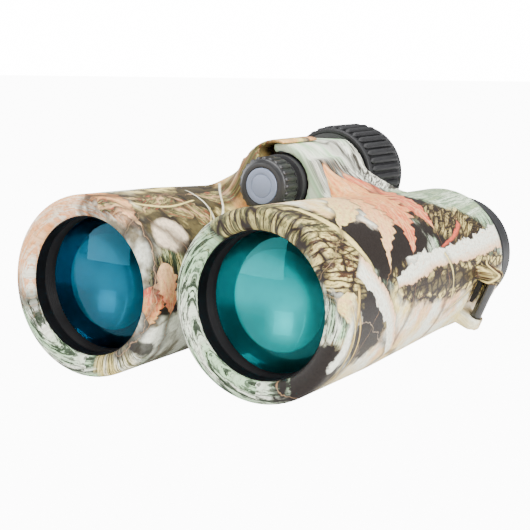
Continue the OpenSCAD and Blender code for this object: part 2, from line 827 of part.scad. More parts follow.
cap_front = -2;
cap_back = nose_l - 0.9;

module tripod_cap() {
    color([0.07, 0.07, 0.07]) difference() {
        turned([
            [0, cap_front + 0.5], [badge_r, cap_front + 0.5], [badge_r, cap_front], [cap_r - 2, cap_front],
            [cap_r - 1.9, cap_front + 0.3], [cap_r - 0.9, cap_front + 0.4], [cap_r - 0.2, cap_front + 1],
            [cap_r, cap_front + 1.4], [cap_r, cap_back], [axle_r + 0.15, cap_back], [axle_r + 0.15, -0.3], [0, -0.3]
        ]);
        for (i = [0 : cap_ribs - 1]) rotate([0, i * 360 / cap_ribs, 0])
            translate([cap_r + 0.1, cap_front + 1.1, 0]) rotate([-90, 0, 0])
                cylinder(r = 0.55, h = cap_back - cap_front, $fn = 24);
    }
}

// A plain disc with one concentric groove.
module tripod_cap_badge() {
    color([0.68, 0.71, 0.77]) turned([
        [0, cap_front - 0.1], [badge_r * 0.62, cap_front - 0.1], [badge_r * 0.62, cap_front + 0.1],
        [badge_r * 0.68, cap_front + 0.1], [badge_r * 0.68, cap_front - 0.1], [badge_r - 0.15, cap_front - 0.1],
        [badge_r, cap_front + 0.05], [badge_r, cap_front + 0.5], [0, cap_front + 0.5]
    ]);
}

module tripod_cap_washer() {
    color([0.02, 0.02, 0.02]) ring(cap_r - 0.6, axle_r + 0.15, cap_back, nose_l - 0.1);
}

// ---------- nodes ----------

module half_node(s, name) {
    if (name == "housing") housing(s);
    if (name == "armour") armour(s);
    if (name == "objective_ring") objective_ring(s);
    if (name == "objective_cell") objective_cell(s);
    if (name == "objective_crown") objective_crown(s);
    if (name == "objective_flint") objective_flint(s);
    if (name == "focus_guide") focus_guide(s);
    if (name == "focus_cell") focus_cell(s);
    if (name == "focus_lens") focus_lens(s);
    if (name == "focus_arm") focus_arm(s);
    if (name == "prism_cage") prism_cage(s);
    if (name == "half_penta_prism") half_penta_prism(s);
    if (name == "roof_prism") roof_prism(s);
    if (name == "prism_clip") prism_clip(s);
    if (name == "eyepiece_tube") eyepiece_tube(s);
    if (name == "field_lens") field_lens(s);
    if (name == "eye_lens") eye_lens(s);
    if (name == "strap_bar") strap_bar(s);
    if (name == "eyecup_guide") eyecup_guide(s);
    if (name == "eyecup_shell") eyecup_shell(s);
    if (name == "eyecup_rubber") eyecup_rubber(s);
}

half_names = [
    "housing", "armour", "objective_ring", "objective_cell", "objective_crown", "objective_flint", "focus_guide",
    "focus_cell", "focus_lens", "focus_arm", "prism_cage", "half_penta_prism", "roof_prism", "prism_clip",
    "eyepiece_tube", "field_lens", "eye_lens", "strap_bar", "eyecup_guide", "eyecup_shell", "eyecup_rubber"
];

for (name = half_names) {
    half_node(LEFT, name);
    half_node(RIGHT, name);
}
eye_lens_ring();  // left_eye_lens_ring
ocular_cell();  // right_ocular_cell
diopter_ring();
diopter_drive_pin();
hinge_axle();
hinge_lock_nut();
hinge_washer();
focus_shaft();
focus_spool();
focus_wheel_hub();
focus_wheel_grip();
focus_wheel_cap();
tripod_cap();
tripod_cap_badge();
tripod_cap_washer();
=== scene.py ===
import json
import math

import bmesh
import bpy
import numpy as np
from mathutils import Matrix, Vector

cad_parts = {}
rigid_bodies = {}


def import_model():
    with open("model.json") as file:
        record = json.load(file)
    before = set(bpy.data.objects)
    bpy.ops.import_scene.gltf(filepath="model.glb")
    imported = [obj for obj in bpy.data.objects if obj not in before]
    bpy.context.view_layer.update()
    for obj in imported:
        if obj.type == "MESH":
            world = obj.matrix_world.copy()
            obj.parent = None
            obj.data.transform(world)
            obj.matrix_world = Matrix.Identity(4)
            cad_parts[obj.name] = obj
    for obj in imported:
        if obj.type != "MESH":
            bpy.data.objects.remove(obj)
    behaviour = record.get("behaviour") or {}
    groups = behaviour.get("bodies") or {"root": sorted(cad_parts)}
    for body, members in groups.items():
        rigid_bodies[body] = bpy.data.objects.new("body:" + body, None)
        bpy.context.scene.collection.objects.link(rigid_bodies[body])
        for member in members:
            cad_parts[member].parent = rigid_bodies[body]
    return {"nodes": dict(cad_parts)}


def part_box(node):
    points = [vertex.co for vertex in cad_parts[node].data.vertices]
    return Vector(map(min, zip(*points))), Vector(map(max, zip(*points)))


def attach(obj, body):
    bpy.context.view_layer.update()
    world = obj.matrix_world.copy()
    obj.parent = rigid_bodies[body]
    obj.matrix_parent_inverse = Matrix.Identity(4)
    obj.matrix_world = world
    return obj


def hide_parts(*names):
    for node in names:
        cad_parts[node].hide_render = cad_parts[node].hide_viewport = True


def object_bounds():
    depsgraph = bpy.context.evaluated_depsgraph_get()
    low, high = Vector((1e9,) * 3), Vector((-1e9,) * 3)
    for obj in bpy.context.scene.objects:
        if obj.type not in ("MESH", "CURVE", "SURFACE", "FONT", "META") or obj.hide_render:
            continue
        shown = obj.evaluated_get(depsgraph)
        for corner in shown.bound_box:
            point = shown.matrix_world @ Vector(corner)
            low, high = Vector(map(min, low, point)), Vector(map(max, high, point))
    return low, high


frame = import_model()
cad_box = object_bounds()
nodes = frame["nodes"]
scene_objects = bpy.context.scene.collection.objects

# ---------- the axes that everything is turned on ----------
# The hinge axis is the line X = 0, Z = 0, and the two barrel axes lie beside and below it.
# Stations are metres behind the plane of the rubber rims.
lens_low, lens_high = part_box("left_objective_crown")
barrel_x = 0.5 * (lens_low.x + lens_high.x)
barrel_z = 0.5 * (lens_low.z + lens_high.z)
rim_stand_out = 0.0025
rim_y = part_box("left_housing")[0].y - rim_stand_out
barrel_axis = {"left": (barrel_x, barrel_z), "right": (-barrel_x, barrel_z)}
hinge_axis = (0, 0)
halves = {"left": 1, "right": -1}


# ---------- camera ----------
# It stands on the user's left of the barrels and a little above them, with a long lens.
view_turn = math.radians(32.73)
view_rise = math.radians(8.81)
view_target = Vector((0.00108, -0.0015, -0.02564))
view_distance = 0.4463
toward_camera = Vector((
    math.sin(view_turn) * math.cos(view_rise),
    -math.cos(view_turn) * math.cos(view_rise),
    math.sin(view_rise),
))
camera_data = bpy.data.cameras.new("camera")
camera_data.lens = 93.6
camera_data.sensor_width = 36
camera_data.clip_start = 0.02
camera = bpy.data.objects.new("camera", camera_data)
camera.location = view_target + view_distance * toward_camera
camera.rotation_euler = toward_camera.to_track_quat("Z", "Y").to_euler()
scene_objects.link(camera)
bpy.context.scene.camera = camera


# ---------- studio ----------
# A white room and a white paper sweep, with soft boxes overhead, to both sides and in front.
# The front box is the one that the objective lenses mirror.
def soft_box(name, place, size, power):
    lamp = bpy.data.lights.new(name, "AREA")
    lamp.shape = "RECTANGLE"
    lamp.size, lamp.size_y = size
    lamp.energy = power
    lamp_object = bpy.data.objects.new(name, lamp)
    lamp_object.location = place
    aim = Vector((0, 0.01, -0.025))
    lamp_object.rotation_euler = (Vector(place) - aim).to_track_quat("Z", "Y").to_euler()
    scene_objects.link(lamp_object)


soft_box("top_box", (0.1, -0.1, 0.9), (1.0, 1.0), 24)
soft_box("right_box", (0.80, -0.30, 0.30), (0.6, 0.6), 15)
soft_box("left_box", (-0.85, -0.1, 0.25), (0.6, 0.6), 7)
soft_box("front_box", (-0.72, -1.01, 0.04), (0.50, 0.70), 6)

world = bpy.data.worlds.new("white_room")
world.use_nodes = True
world_tree = world.node_tree
room_light = world_tree.nodes["Background"]
room_light.inputs["Color"].default_value = (0.97, 0.98, 1, 1)
room_light.inputs["Strength"].default_value = 0.55
bright_room = world_tree.nodes.new("ShaderNodeBackground")
bright_room.inputs["Color"].default_value = (1, 1, 1, 1)
bright_room.inputs["Strength"].default_value = 16
seen_by_camera = world_tree.nodes.new("ShaderNodeLightPath")
room_mix = world_tree.nodes.new("ShaderNodeMixShader")
world_tree.links.new(seen_by_camera.outputs["Is Camera Ray"], room_mix.inputs["Fac"])
world_tree.links.new(room_light.outputs["Background"], room_mix.inputs[1])
world_tree.links.new(bright_room.outputs["Background"], room_mix.inputs[2])
world_tree.links.new(room_mix.outputs["Shader"], world_tree.nodes["World Output"].inputs["Surface"])
bpy.context.scene.world = world

floor_mesh = bpy.data.meshes.new("floor")
floor_mesh.from_pydata([(-4, -4, 0), (4, -4, 0), (4, 4, 0), (-4, 4, 0)], [], [(0, 1, 2, 3)])
floor_mesh.transform(Matrix.Translation((0, 0, cad_box[0][2])))
floor = bpy.data.objects.new("floor", floor_mesh)
scene_objects.link(floor)
white_paper = bpy.data.materials.new("white_paper")
white_paper.use_nodes = True
paper_tree = white_paper.node_tree
paper_shader = paper_tree.nodes["Principled BSDF"]
paper_shader.inputs["Base Color"].default_value = (0.8, 0.8, 0.8, 1)
paper_shader.inputs["Roughness"].default_value = 0.9
paper_shader.inputs["Emission Color"].default_value = (1, 1, 1, 1)
paper_shader.inputs["Emission Strength"].default_value = 0.15
lit_from_below = paper_tree.nodes.new("ShaderNodeEmission")
lit_from_below.inputs["Strength"].default_value = 13
paper_ray = paper_tree.nodes.new("ShaderNodeLightPath")
paper_gain = paper_tree.nodes.new("ShaderNodeMath")
paper_gain.operation = "MULTIPLY"
paper_gain.inputs[1].default_value = 0.9
paper_mix = paper_tree.nodes.new("ShaderNodeMixShader")
paper_tree.links.new(paper_ray.outputs["Is Camera Ray"], paper_gain.inputs[0])
paper_tree.links.new(paper_gain.outputs["Value"], paper_mix.inputs["Fac"])
paper_tree.links.new(paper_shader.outputs["BSDF"], paper_mix.inputs[1])
paper_tree.links.new(lit_from_below.outputs["Emission"], paper_mix.inputs[2])
paper_tree.links.new(paper_mix.outputs["Shader"], paper_tree.nodes["Material Output"].inputs["Surface"])
floor_mesh.materials.append(white_paper)


# ---------- rubber armour: the moulding ----------
# Each half wears one sleeve of soft rubber over its barrel and its arm of the bridge. The mould's
# edges are all rounded, and the sleeve runs in broad fillets from the barrel up to the hinge.
def merged_copy(node, name):
    mesh = nodes[node].data.copy()
    mesh.name = name
    shape = bmesh.new()
    shape.from_mesh(mesh)
    bmesh.ops.remove_doubles(shape, verts=shape.verts, dist=2e-6)
    shape.to_mesh(mesh)
    shape.free()
    mesh.materials.clear()
    piece = bpy.data.objects.new(name, mesh)
    scene_objects.link(piece)
    return piece


def apply_modifiers(piece):
    evaluated = piece.evaluated_get(bpy.context.evaluated_depsgraph_get())
    mesh = bpy.data.meshes.new_from_object(evaluated)
    mesh.name = piece.name
    piece.modifiers.clear()
    piece.data = mesh


def points_of(mesh):
    points = np.empty(len(mesh.vertices) * 3, np.float32)
    mesh.vertices.foreach_get("co", points)
    return points.reshape(-1, 3).astype(float)


def set_points(mesh, points):
    mesh.vertices.foreach_set("co", points.astype(np.float32).ravel())
    mesh.update()


def neighbour_mean(points, edges, count):
    total = np.empty_like(points)
    for axis in range(3):
        total[:, axis] = (
            np.bincount(edges[:, 0], points[edges[:, 1], axis], len(points))
            + np.bincount(edges[:, 1], points[edges[:, 0], axis], len(points))
        )
    return total / count[:, None]


def edges_of(mesh):
    edges = np.empty(len(mesh.edges) * 2, np.int32)
    mesh.edges.foreach_get("vertices", edges)
    edges = edges.reshape(-1, 2)
    count = np.bincount(edges.ravel(), minlength=len(mesh.vertices)).astype(float)
    return edges, np.maximum(count, 1)


def smooth_step(low, high, value):
    t = np.clip((value - low) / (high - low), 0, 1)
    return t * t * (3 - 2 * t)


arm_front = 0.058
arm_back = 0.0922


def fillet_mask(points, side):
    x, y, z = points.T
    back = y - rim_y
    axis_x, axis_z = barrel_axis[side]
    barrel_r = np.hypot(x - axis_x, z - axis_z)
    hinge_r = np.hypot(x, z)
    outer = smooth_step(0.0236, 0.0244, barrel_r)
    near_arm = smooth_step(arm_front - 0.014, arm_front - 0.006,
                           back) * (1 - smooth_step(arm_back + 0.004, arm_back + 0.012, back))
    clear_of_hinge = smooth_step(0.0150, 0.0165, hinge_r)
    above = smooth_step(-0.030, -0.024, z)
    inner = smooth_step(-0.004, 0.002, -halves[side] * (x - axis_x))
    return outer * near_arm * clear_of_hinge * above * inner


def skin_of(side):
    skin = merged_copy(side + "_armour", side + "_rubber_armour")
    remesh = skin.modifiers.new("even", "REMESH")
    remesh.mode = "VOXEL"
    remesh.voxel_size = 0.0006
    apply_modifiers(skin)
    mesh = skin.data
    edges, count = edges_of(mesh)
    points = points_of(mesh)
    for step in range(3):
        points += 0.5 * (neighbour_mean(points, edges, count) - points)
    mask = fillet_mask(points, side)[:, None]
    for step in range(120):
        points += 0.5 * mask * (neighbour_mean(points, edges, count) - points)
    set_points(mesh, points)
    thin = skin.modifiers.new("thin", "DECIMATE")
    thin.ratio = min(1.0, 190000 / (2 * len(mesh.polygons)))
    apply_modifiers(skin)
    skin.data.shade_smooth()
    return skin


# Every point of the armour knows how far it lies round its barrel from the top, outwards, and how
# far behind the rim, which is how the printed film was wrapped on it.
def wrap_film(skin, side):
    mesh = skin.data
    points = points_of(mesh)
    axis_x, axis_z = barrel_axis[side]
    out = halves[side] * (points[:, 0] - axis_x)
    up = points[:, 2] - axis_z
    turn = np.arctan2(out, up)
    radius = np.hypot(out, up)
    back = points[:, 1] - rim_y - np.clip(0.0272 - radius, 0, 0.01) * (points[:, 1] < rim_y + 0.004)
    corner = np.empty(len(mesh.loops), np.int32)
    mesh.loops.foreach_get("vertex_index", corner)
    starts = np.empty(len(mesh.polygons), np.int32)
    totals = np.empty(len(mesh.polygons), np.int32)
    mesh.polygons.foreach_get("loop_start", starts)
    mesh.polygons.foreach_get("loop_total", totals)
    first = np.repeat(turn[corner[starts]], totals)
    corner_turn = turn[corner]
    corner_turn = corner_turn + 2 * np.pi * np.round((first - corner_turn) / (2 * np.pi))
    film = np.stack([0.0272 * corner_turn, back[corner], np.zeros(len(corner))], 1)
    attribute = mesh.attributes.new("film", "FLOAT_VECTOR", "CORNER")
    attribute.data.foreach_set("vector", film.astype(np.float32).ravel())


# ---------- rubber armour: the printed film ----------
# A dipped film carries the woodland print: pale bark, darker ridged bark, dry leaves and twigs over
# brown shade. Each motif is a node group that is laid down many times with its own place and size.
def new_group(name, inputs, outputs):
    tree = bpy.data.node_groups.new(name, "ShaderNodeTree")
    for label, kind in inputs:
        tree.interface.new_socket(label, in_out="INPUT", socket_type="NodeSocket" + kind)
    for label, kind in outputs:
        tree.interface.new_socket(label, in_out="OUTPUT", socket_type="NodeSocket" + kind)
    return tree, tree.nodes.new("NodeGroupInput").outputs, tree.nodes.new("NodeGroupOutput").inputs


def put(tree, kind, sockets=None, **settings):
    node = tree.nodes.new("ShaderNode" + kind)
    for name, value in settings.items():
        setattr(node, name, value)
    for key, value in (sockets or {}).items():
        if isinstance(value, bpy.types.NodeSocket):
            tree.links.new(value, node.inputs[key])
        elif isinstance(value, tuple) and len(value) == 3 and node.inputs[key].type == "RGBA":
            node.inputs[key].default_value = (*value, 1)
        else:
            node.inputs[key].default_value = value
    return node


def calc(tree, operation, a, b=0.0, c=0.0, clamp=False):
    node = put(tree, "Math", {0: a, 1: b, 2: c}, operation=operation, use_clamp=clamp)
    return node.outputs["Value"]


def ramp(tree, value, low, high, to_low=0.0, to_high=1.0):
    node = put(tree, "MapRange", {"Value": value, "From Min": low, "From Max": high, "To Min": to_low,
                                  "To Max": to_high})
    return node.outputs["Result"]


def mix(tree, factor, a, b, how="MIX"):
    node = tree.nodes.new("ShaderNodeMix")
    node.data_type = "RGBA"
    node.blend_type = how
    for key, value in ((0, factor), (6, a), (7, b)):
        if isinstance(value, bpy.types.NodeSocket):
            tree.links.new(value, node.inputs[key])
        elif key == 0:
            node.inputs[key].default_value = value
        else:
            node.inputs[key].default_value = (*value, 1)
    return node.outputs[2]


def noise(tree, vector, scale, detail=3.0, rough=0.55):
    node = put(tree, "TexNoise", {"Vector": vector, "Scale": scale, "Detail": detail, "Roughness": rough})
    return node.outputs["Fac"]


def local_frame(tree, film, place, turn):
    moved = put(tree, "VectorMath", {0: film, 1: place}, operation="SUBTRACT").outputs["Vector"]
    turned = put(tree, "VectorRotate", {"Vector": moved, "Angle": turn}, rotation_type="Z_AXIS")
    split = put(tree, "SeparateXYZ", {"Vector": turned.outputs["Vector"]})
    return turned.outputs["Vector"], split.outputs["X"], split.outputs["Y"]


FILM_INPUTS = [("Film", "Vector"), ("Place", "Vector"), ("Turn", "Float"), ("Length", "Float"),
               ("Width", "Float")]


def leaf_group():
    tree, given, result = new_group(
        "dry_leaf",
        FILM_INPUTS + [("Teeth", "Float"), ("Notch", "Float")],
        [("Mask", "Float"), ("Shade", "Float"), ("Vein", "Float"), ("Along", "Float"),
         ("Grain", "Float")],
    )
    local, x, y = local_frame(tree, given["Film"], given["Place"], given["Turn"])
    wobble = ramp(tree, noise(tree, local, 0.12, 3), 0.3, 0.7, -1.5, 1.5)
    along = calc(tree, "DIVIDE", x, given["Length"])
    across = calc(tree, "DIVIDE", calc(tree, "ABSOLUTE", calc(tree, "ADD", y, wobble)), given["Width"])
    bounded = calc(tree, "MAXIMUM", calc(tree, "MINIMUM", along, 1.0), 0.0)
    rise = calc(tree, "SINE", calc(tree, "MULTIPLY", calc(tree, "POWER", bounded, 0.72), math.pi))
    rows = calc(tree, "MULTIPLY", calc(tree, "SUBTRACT", along, calc(tree, "MULTIPLY", across, 0.16)),
                given["Teeth"])
    saw = calc(tree, "MULTIPLY", calc(tree, "FRACT", rows), given["Notch"])
    lobes = calc(tree, "MULTIPLY_ADD", calc(tree, "SINE", calc(tree, "MULTIPLY", rows, 1.6)), 0.12, 0.9)
    edge = calc(tree, "MULTIPLY", calc(tree, "MULTIPLY", rise, lobes), calc(tree, "SUBTRACT", 1.0, saw))
    inside = calc(tree, "MULTIPLY", calc(tree, "SUBTRACT", edge, across), given["Width"])
    tree.links.new(calc(tree, "MULTIPLY_ADD", inside, 2.2, 0.4, clamp=True), result["Mask"])
    tree.links.new(calc(tree, "MULTIPLY_ADD", inside, 0.42, 1.0, clamp=True), result["Shade"])
    ribs = calc(tree, "SUBTRACT", calc(tree, "MULTIPLY", along,
                                       calc(tree, "MULTIPLY", given["Teeth"], 0.5)),
                calc(tree, "MULTIPLY", across, 1.1))
    rib = calc(tree, "ABSOLUTE", calc(tree, "SUBTRACT", calc(tree, "FRACT", ribs), 0.5))
    side_vein = ramp(tree, rib, 0.0, 0.07, 0.7, 0.0)
    midrib = ramp(tree, calc(tree, "MULTIPLY", across, given["Width"]), 0.1, 0.55, 1.0, 0.0)
    tree.links.new(calc(tree, "MAXIMUM", side_vein, midrib), result["Vein"])
    tree.links.new(bounded, result["Along"])
    stretched = put(tree, "VectorMath", {0: local, 1: (0.35, 1.6, 1.0)},
                    operation="MULTIPLY").outputs["Vector"]
    tree.links.new(noise(tree, stretched, 0.7, 5, 0.65), result["Grain"])
    return tree


def twig_group():
    tree, given, result = new_group(
        "twig",
        FILM_INPUTS + [("Bend", "Float")],
        [("Mask", "Float"), ("Shade", "Float"), ("Across", "Float"), ("Grain", "Float")],
    )
    local, x, y = local_frame(tree, given["Film"], given["Place"], given["Turn"])
    along = calc(tree, "DIVIDE", x, given["Length"])
    curve = calc(tree, "MULTIPLY", calc(tree, "SINE", calc(tree, "MULTIPLY", along, 3.9)), given["Bend"])
    rough = ramp(tree, noise(tree, local, 0.2, 3), 0.3, 0.7, 0.62, 1.3)
    taper = ramp(tree, along, 0.0, 1.0, 1.0, 0.45)
    half = calc(tree, "MULTIPLY", calc(tree, "MULTIPLY", given["Width"], rough), taper)
    across = calc(tree, "DIVIDE", calc(tree, "SUBTRACT", y, curve), half)
    ends = calc(tree, "MULTIPLY", calc(tree, "MULTIPLY",
                                       calc(tree, "MINIMUM", along,
                                            calc(tree, "SUBTRACT", 1.0, along)), 30.0), 1.0, clamp=True)
    side = calc(tree, "MULTIPLY", calc(tree, "SUBTRACT", 1.0, calc(tree, "ABSOLUTE", across)), half)
    tree.links.new(calc(tree, "MULTIPLY", calc(tree, "MULTIPLY_ADD", side, 3.0, 0.3, clamp=True), ends),
                   result["Mask"])
    tree.links.new(calc(tree, "MULTIPLY", calc(tree, "MULTIPLY_ADD", side, 0.5, 1.0, clamp=True), ends),
                   result["Shade"])
    tree.links.new(calc(tree, "MULTIPLY_ADD", across, 0.5, 0.5, clamp=True), result["Across"])
    stretched = put(tree, "VectorMath", {0: local, 1: (0.3, 1.5, 1.0)},
                    operation="MULTIPLY").outputs["Vector"]
    tree.links.new(noise(tree, stretched, 0.9, 5, 0.7), result["Grain"])
    return tree


def patch_group():
    tree, given, result = new_group("patch", FILM_INPUTS + [("Ragged", "Float")], [("Mask", "Float")])
    local, x, y = local_frame(tree, given["Film"], given["Place"], given["Turn"])
    a = calc(tree, "DIVIDE", x, given["Length"])
    b = calc(tree, "DIVIDE", y, given["Width"])
    reach = calc(tree, "SQRT", calc(tree, "ADD", calc(tree, "MULTIPLY", a, a),
                                    calc(tree, "MULTIPLY", b, b)))
    rough = calc(tree, "MULTIPLY", calc(tree, "SUBTRACT", noise(tree, local, 0.16, 5, 0.6), 0.5),
                 given["Ragged"])
    tree.links.new(calc(tree, "MULTIPLY_ADD", calc(tree, "ADD", reach, rough), -4.0, 4.4, clamp=True),
                   result["Mask"])
    return tree


# Bark is streaked along its grain, with dark cracks between lighter plates.
def bark_group():
    tree, given, result = new_group(
        "bark",
        [("Film", "Vector"), ("Turn", "Float"), ("Fineness", "Float"), ("Stretch", "Float"),
         ("Waviness", "Float")],
        [("Stroke", "Float"), ("Crack", "Float"), ("Plate", "Float"), ("Tint", "Float")],
    )
    turned = put(tree, "VectorRotate", {"Vector": given["Film"], "Angle": given["Turn"]},
                 rotation_type="Z_AXIS")
    bent = put(tree, "TexNoise", {"Vector": turned.outputs["Vector"], "Scale": 0.07, "Detail": 2.0})
    push = put(tree, "VectorMath", {0: bent.outputs["Color"], "Scale": given["Waviness"]},
               operation="SCALE").outputs["Vector"]
    moved = put(tree, "VectorMath", {0: turned.outputs["Vector"], 1: push},
                operation="ADD").outputs["Vector"]
    split = put(tree, "SeparateXYZ", {"Vector": moved})
    along = calc(tree, "DIVIDE", split.outputs["X"], given["Stretch"])
    grain = put(tree, "CombineXYZ", {"X": along, "Y": split.outputs["Y"]}).outputs["Vector"]
    scaled = put(tree, "VectorMath", {0: grain, "Scale": given["Fineness"]},
                 operation="SCALE").outputs["Vector"]
    tree.links.new(noise(tree, scaled, 1.0, 4, 0.62), result["Stroke"])
    cell_edge = put(tree, "TexVoronoi", {"Vector": scaled, "Scale": 0.9},
                    feature="DISTANCE_TO_EDGE").outputs["Distance"]
    tree.links.new(ramp(tree, cell_edge, 0.02, 0.16, 1.0, 0.0), result["Crack"])
    cell = put(tree, "TexVoronoi", {"Vector": scaled, "Scale": 0.9}).outputs["Color"]
    tree.links.new(put(tree, "SeparateXYZ", {"Vector": cell}).outputs["X"], result["Plate"])
    tree.links.new(noise(tree, scaled, 0.27, 2), result["Tint"])
    return tree


DRY_LEAF = leaf_group()
TWIG = twig_group()
PATCH = patch_group()
BARK = bark_group()


def motif(tree, group, film, place, turn, length, width, **more):
    node = tree.nodes.new("ShaderNodeGroup")
    node.node_tree = group
    tree.links.new(film, node.inputs["Film"])
    node.inputs["Place"].default_value = (*place, 0)
    node.inputs["Turn"].default_value = math.radians(turn)
    node.inputs["Length"].default_value = length
    node.inputs["Width"].default_value = width
    for label, value in more.items():
        node.inputs[label.capitalize()].default_value = value
    return node.outputs


def bark(tree, film, turn, fineness, stretch, waviness):
    node = tree.nodes.new("ShaderNodeGroup")
    node.node_tree = BARK
    tree.links.new(film, node.inputs["Film"])
    node.inputs["Turn"].default_value = math.radians(turn)
    node.inputs["Fineness"].default_value = fineness
    node.inputs["Stretch"].default_value = stretch
    node.inputs["Waviness"].default_value = waviness
    return node.outputs


MINT = (0.44, 0.66, 0.40)
CREAM = (0.82, 0.66, 0.24)
WHITE_BARK = (0.86, 0.88, 0.74)
MOSS = (0.014, 0.024, 0.010)
OLIVE = (0.085, 0.083, 0.034)
UMBER = (0.014, 0.007, 0.004)
BROWN = (0.085, 0.042, 0.02)
TAUPE = (0.012, 0.008, 0.006)
SALMON = (0.62, 0.105, 0.055)
PEACH = (0.82, 0.32, 0.10)
BLUSH = (0.85, 0.50, 0.26)
SAGE = (0.22, 0.23, 0.09)
STRAW = (0.70, 0.48, 0.12)
PINK_BARK = (0.30, 0.20, 0.15)


def pale_bark(tree, film, turn, tone, stroke, strength=0.95):
    grain = bark(tree, film, turn, 1.0, 11.0, 1.2)
    fine = bark(tree, film, turn, 2.2, 9.0, 1.2)
    colour = mix(tree, ramp(tree, grain["Tint"], 0.42, 0.58), tone, WHITE_BARK)
    colour = mix(tree, ramp(tree, grain["Plate"], 0.3, 1.0, 0.0, 0.15), colour, tone)
    colour = mix(tree, ramp(tree, fine["Stroke"], 0.52, 0.56, 0.0, 0.8), colour, stroke)
    return mix(tree, ramp(tree, grain["Stroke"], 0.525, 0.555, 0.0, strength), colour, stroke)


def ridged_bark(tree, film, turn, light, dark, crack, fineness=0.36, stretch=3.2):
    grain = bark(tree, film, turn, fineness, stretch, 3.0)
    fine = bark(tree, film, turn, 3.2 * fineness, 2.4, 3.0)
    colour = mix(tree, grain["Plate"], light, CREAM)
    colour = mix(tree, ramp(tree, grain["Stroke"], 0.47, 0.55), colour, dark)
    colour = mix(tree, ramp(tree, fine["Stroke"], 0.52, 0.57, 0.0, 0.6), colour, crack)
    colour = mix(tree, ramp(tree, fine["Stroke"], 0.43, 0.38, 0.0, 0.6), colour, CREAM)
    return mix(tree, grain["Crack"], colour, crack)


def lay_leaf(tree, film, ground, place, turn, length, width, base, tip, teeth=9.0, notch=0.28):
    leaf = motif(tree, DRY_LEAF, film, place, turn, length, width, teeth=teeth, notch=notch)
    ground = mix(tree, calc(tree, "MULTIPLY", leaf["Shade"], 0.8), ground, TAUPE)
    blade = mix(tree, ramp(tree, leaf["Along"], 0.2, 0.9), base, tip)
    blade = mix(tree, ramp(tree, leaf["Grain"], 0.48, 0.64, 0.0, 0.6), blade, CREAM)
    blade = mix(tree, ramp(tree, leaf["Grain"], 0.46, 0.34, 0.0, 0.7), blade, SALMON)
    blade = mix(tree, calc(tree, "MULTIPLY", leaf["Vein"], 0.6), blade, BLUSH)
    return mix(tree, leaf["Mask"], ground, blade)


def lay_twig(tree, film, ground, place, turn, length, width, light, dark, bend=2.0):
    twig = motif(tree, TWIG, film, place, turn, length, width, bend=bend)
    ground = mix(tree, calc(tree, "MULTIPLY", twig["Shade"], 0.5), ground, TAUPE)
    wood = mix(tree, ramp(tree, twig["Across"], 0.55, 1.0), light, dark)
    wood = mix(tree, ramp(tree, twig["Grain"], 0.56, 0.64, 0.0, 0.8), wood, dark)
    return mix(tree, twig["Mask"], ground, wood)


def lay_patch(tree, film, ground, over, place, turn, length, width, ragged=1.2, strength=1.0):
    mask = motif(tree, PATCH, film, place, turn, length, width, ragged=ragged)["Mask"]
    return mix(tree, calc(tree, "MULTIPLY", mask, strength), ground, over)


def new_material(name):
    material = bpy.data.materials.new(name)
    material.use_nodes = True
    return material, material.node_tree, material.node_tree.nodes["Principled BSDF"]


def camouflage(name, layers):
    material, tree, shader = new_material(name)
    wrapped = put(tree, "Attribute", attribute_type="GEOMETRY", attribute_name="film").outputs["Vector"]
    film = put(tree, "VectorMath", {0: wrapped, "Scale": 1000.0}, operation="SCALE").outputs["Vector"]
    print_colour = layers(tree, film)
    mottle = ramp(tree, noise(tree, film, 0.9, 6, 0.7), 0.44, 0.62, 0.0, 0.5)
    print_colour = mix(tree, mottle, print_colour, (0.42, 0.36, 0.30), "MULTIPLY")
    tree.links.new(print_colour, shader.inputs["Base Color"])
    place = put(tree, "TexCoord").outputs["Object"]
    stipple = noise(tree, place, 2600, 3)
    tree.links.new(ramp(tree, stipple, 0.3, 0.7, 0.42, 0.56), shader.inputs["Roughness"])
    bump = put(tree, "Bump", {"Height": stipple, "Strength": 0.12, "Distance": 0.0002})
    tree.links.new(bump.outputs["Normal"], shader.inputs["Normal"])
    shader.inputs["Specular IOR Level"].default_value = 0.22
    return material


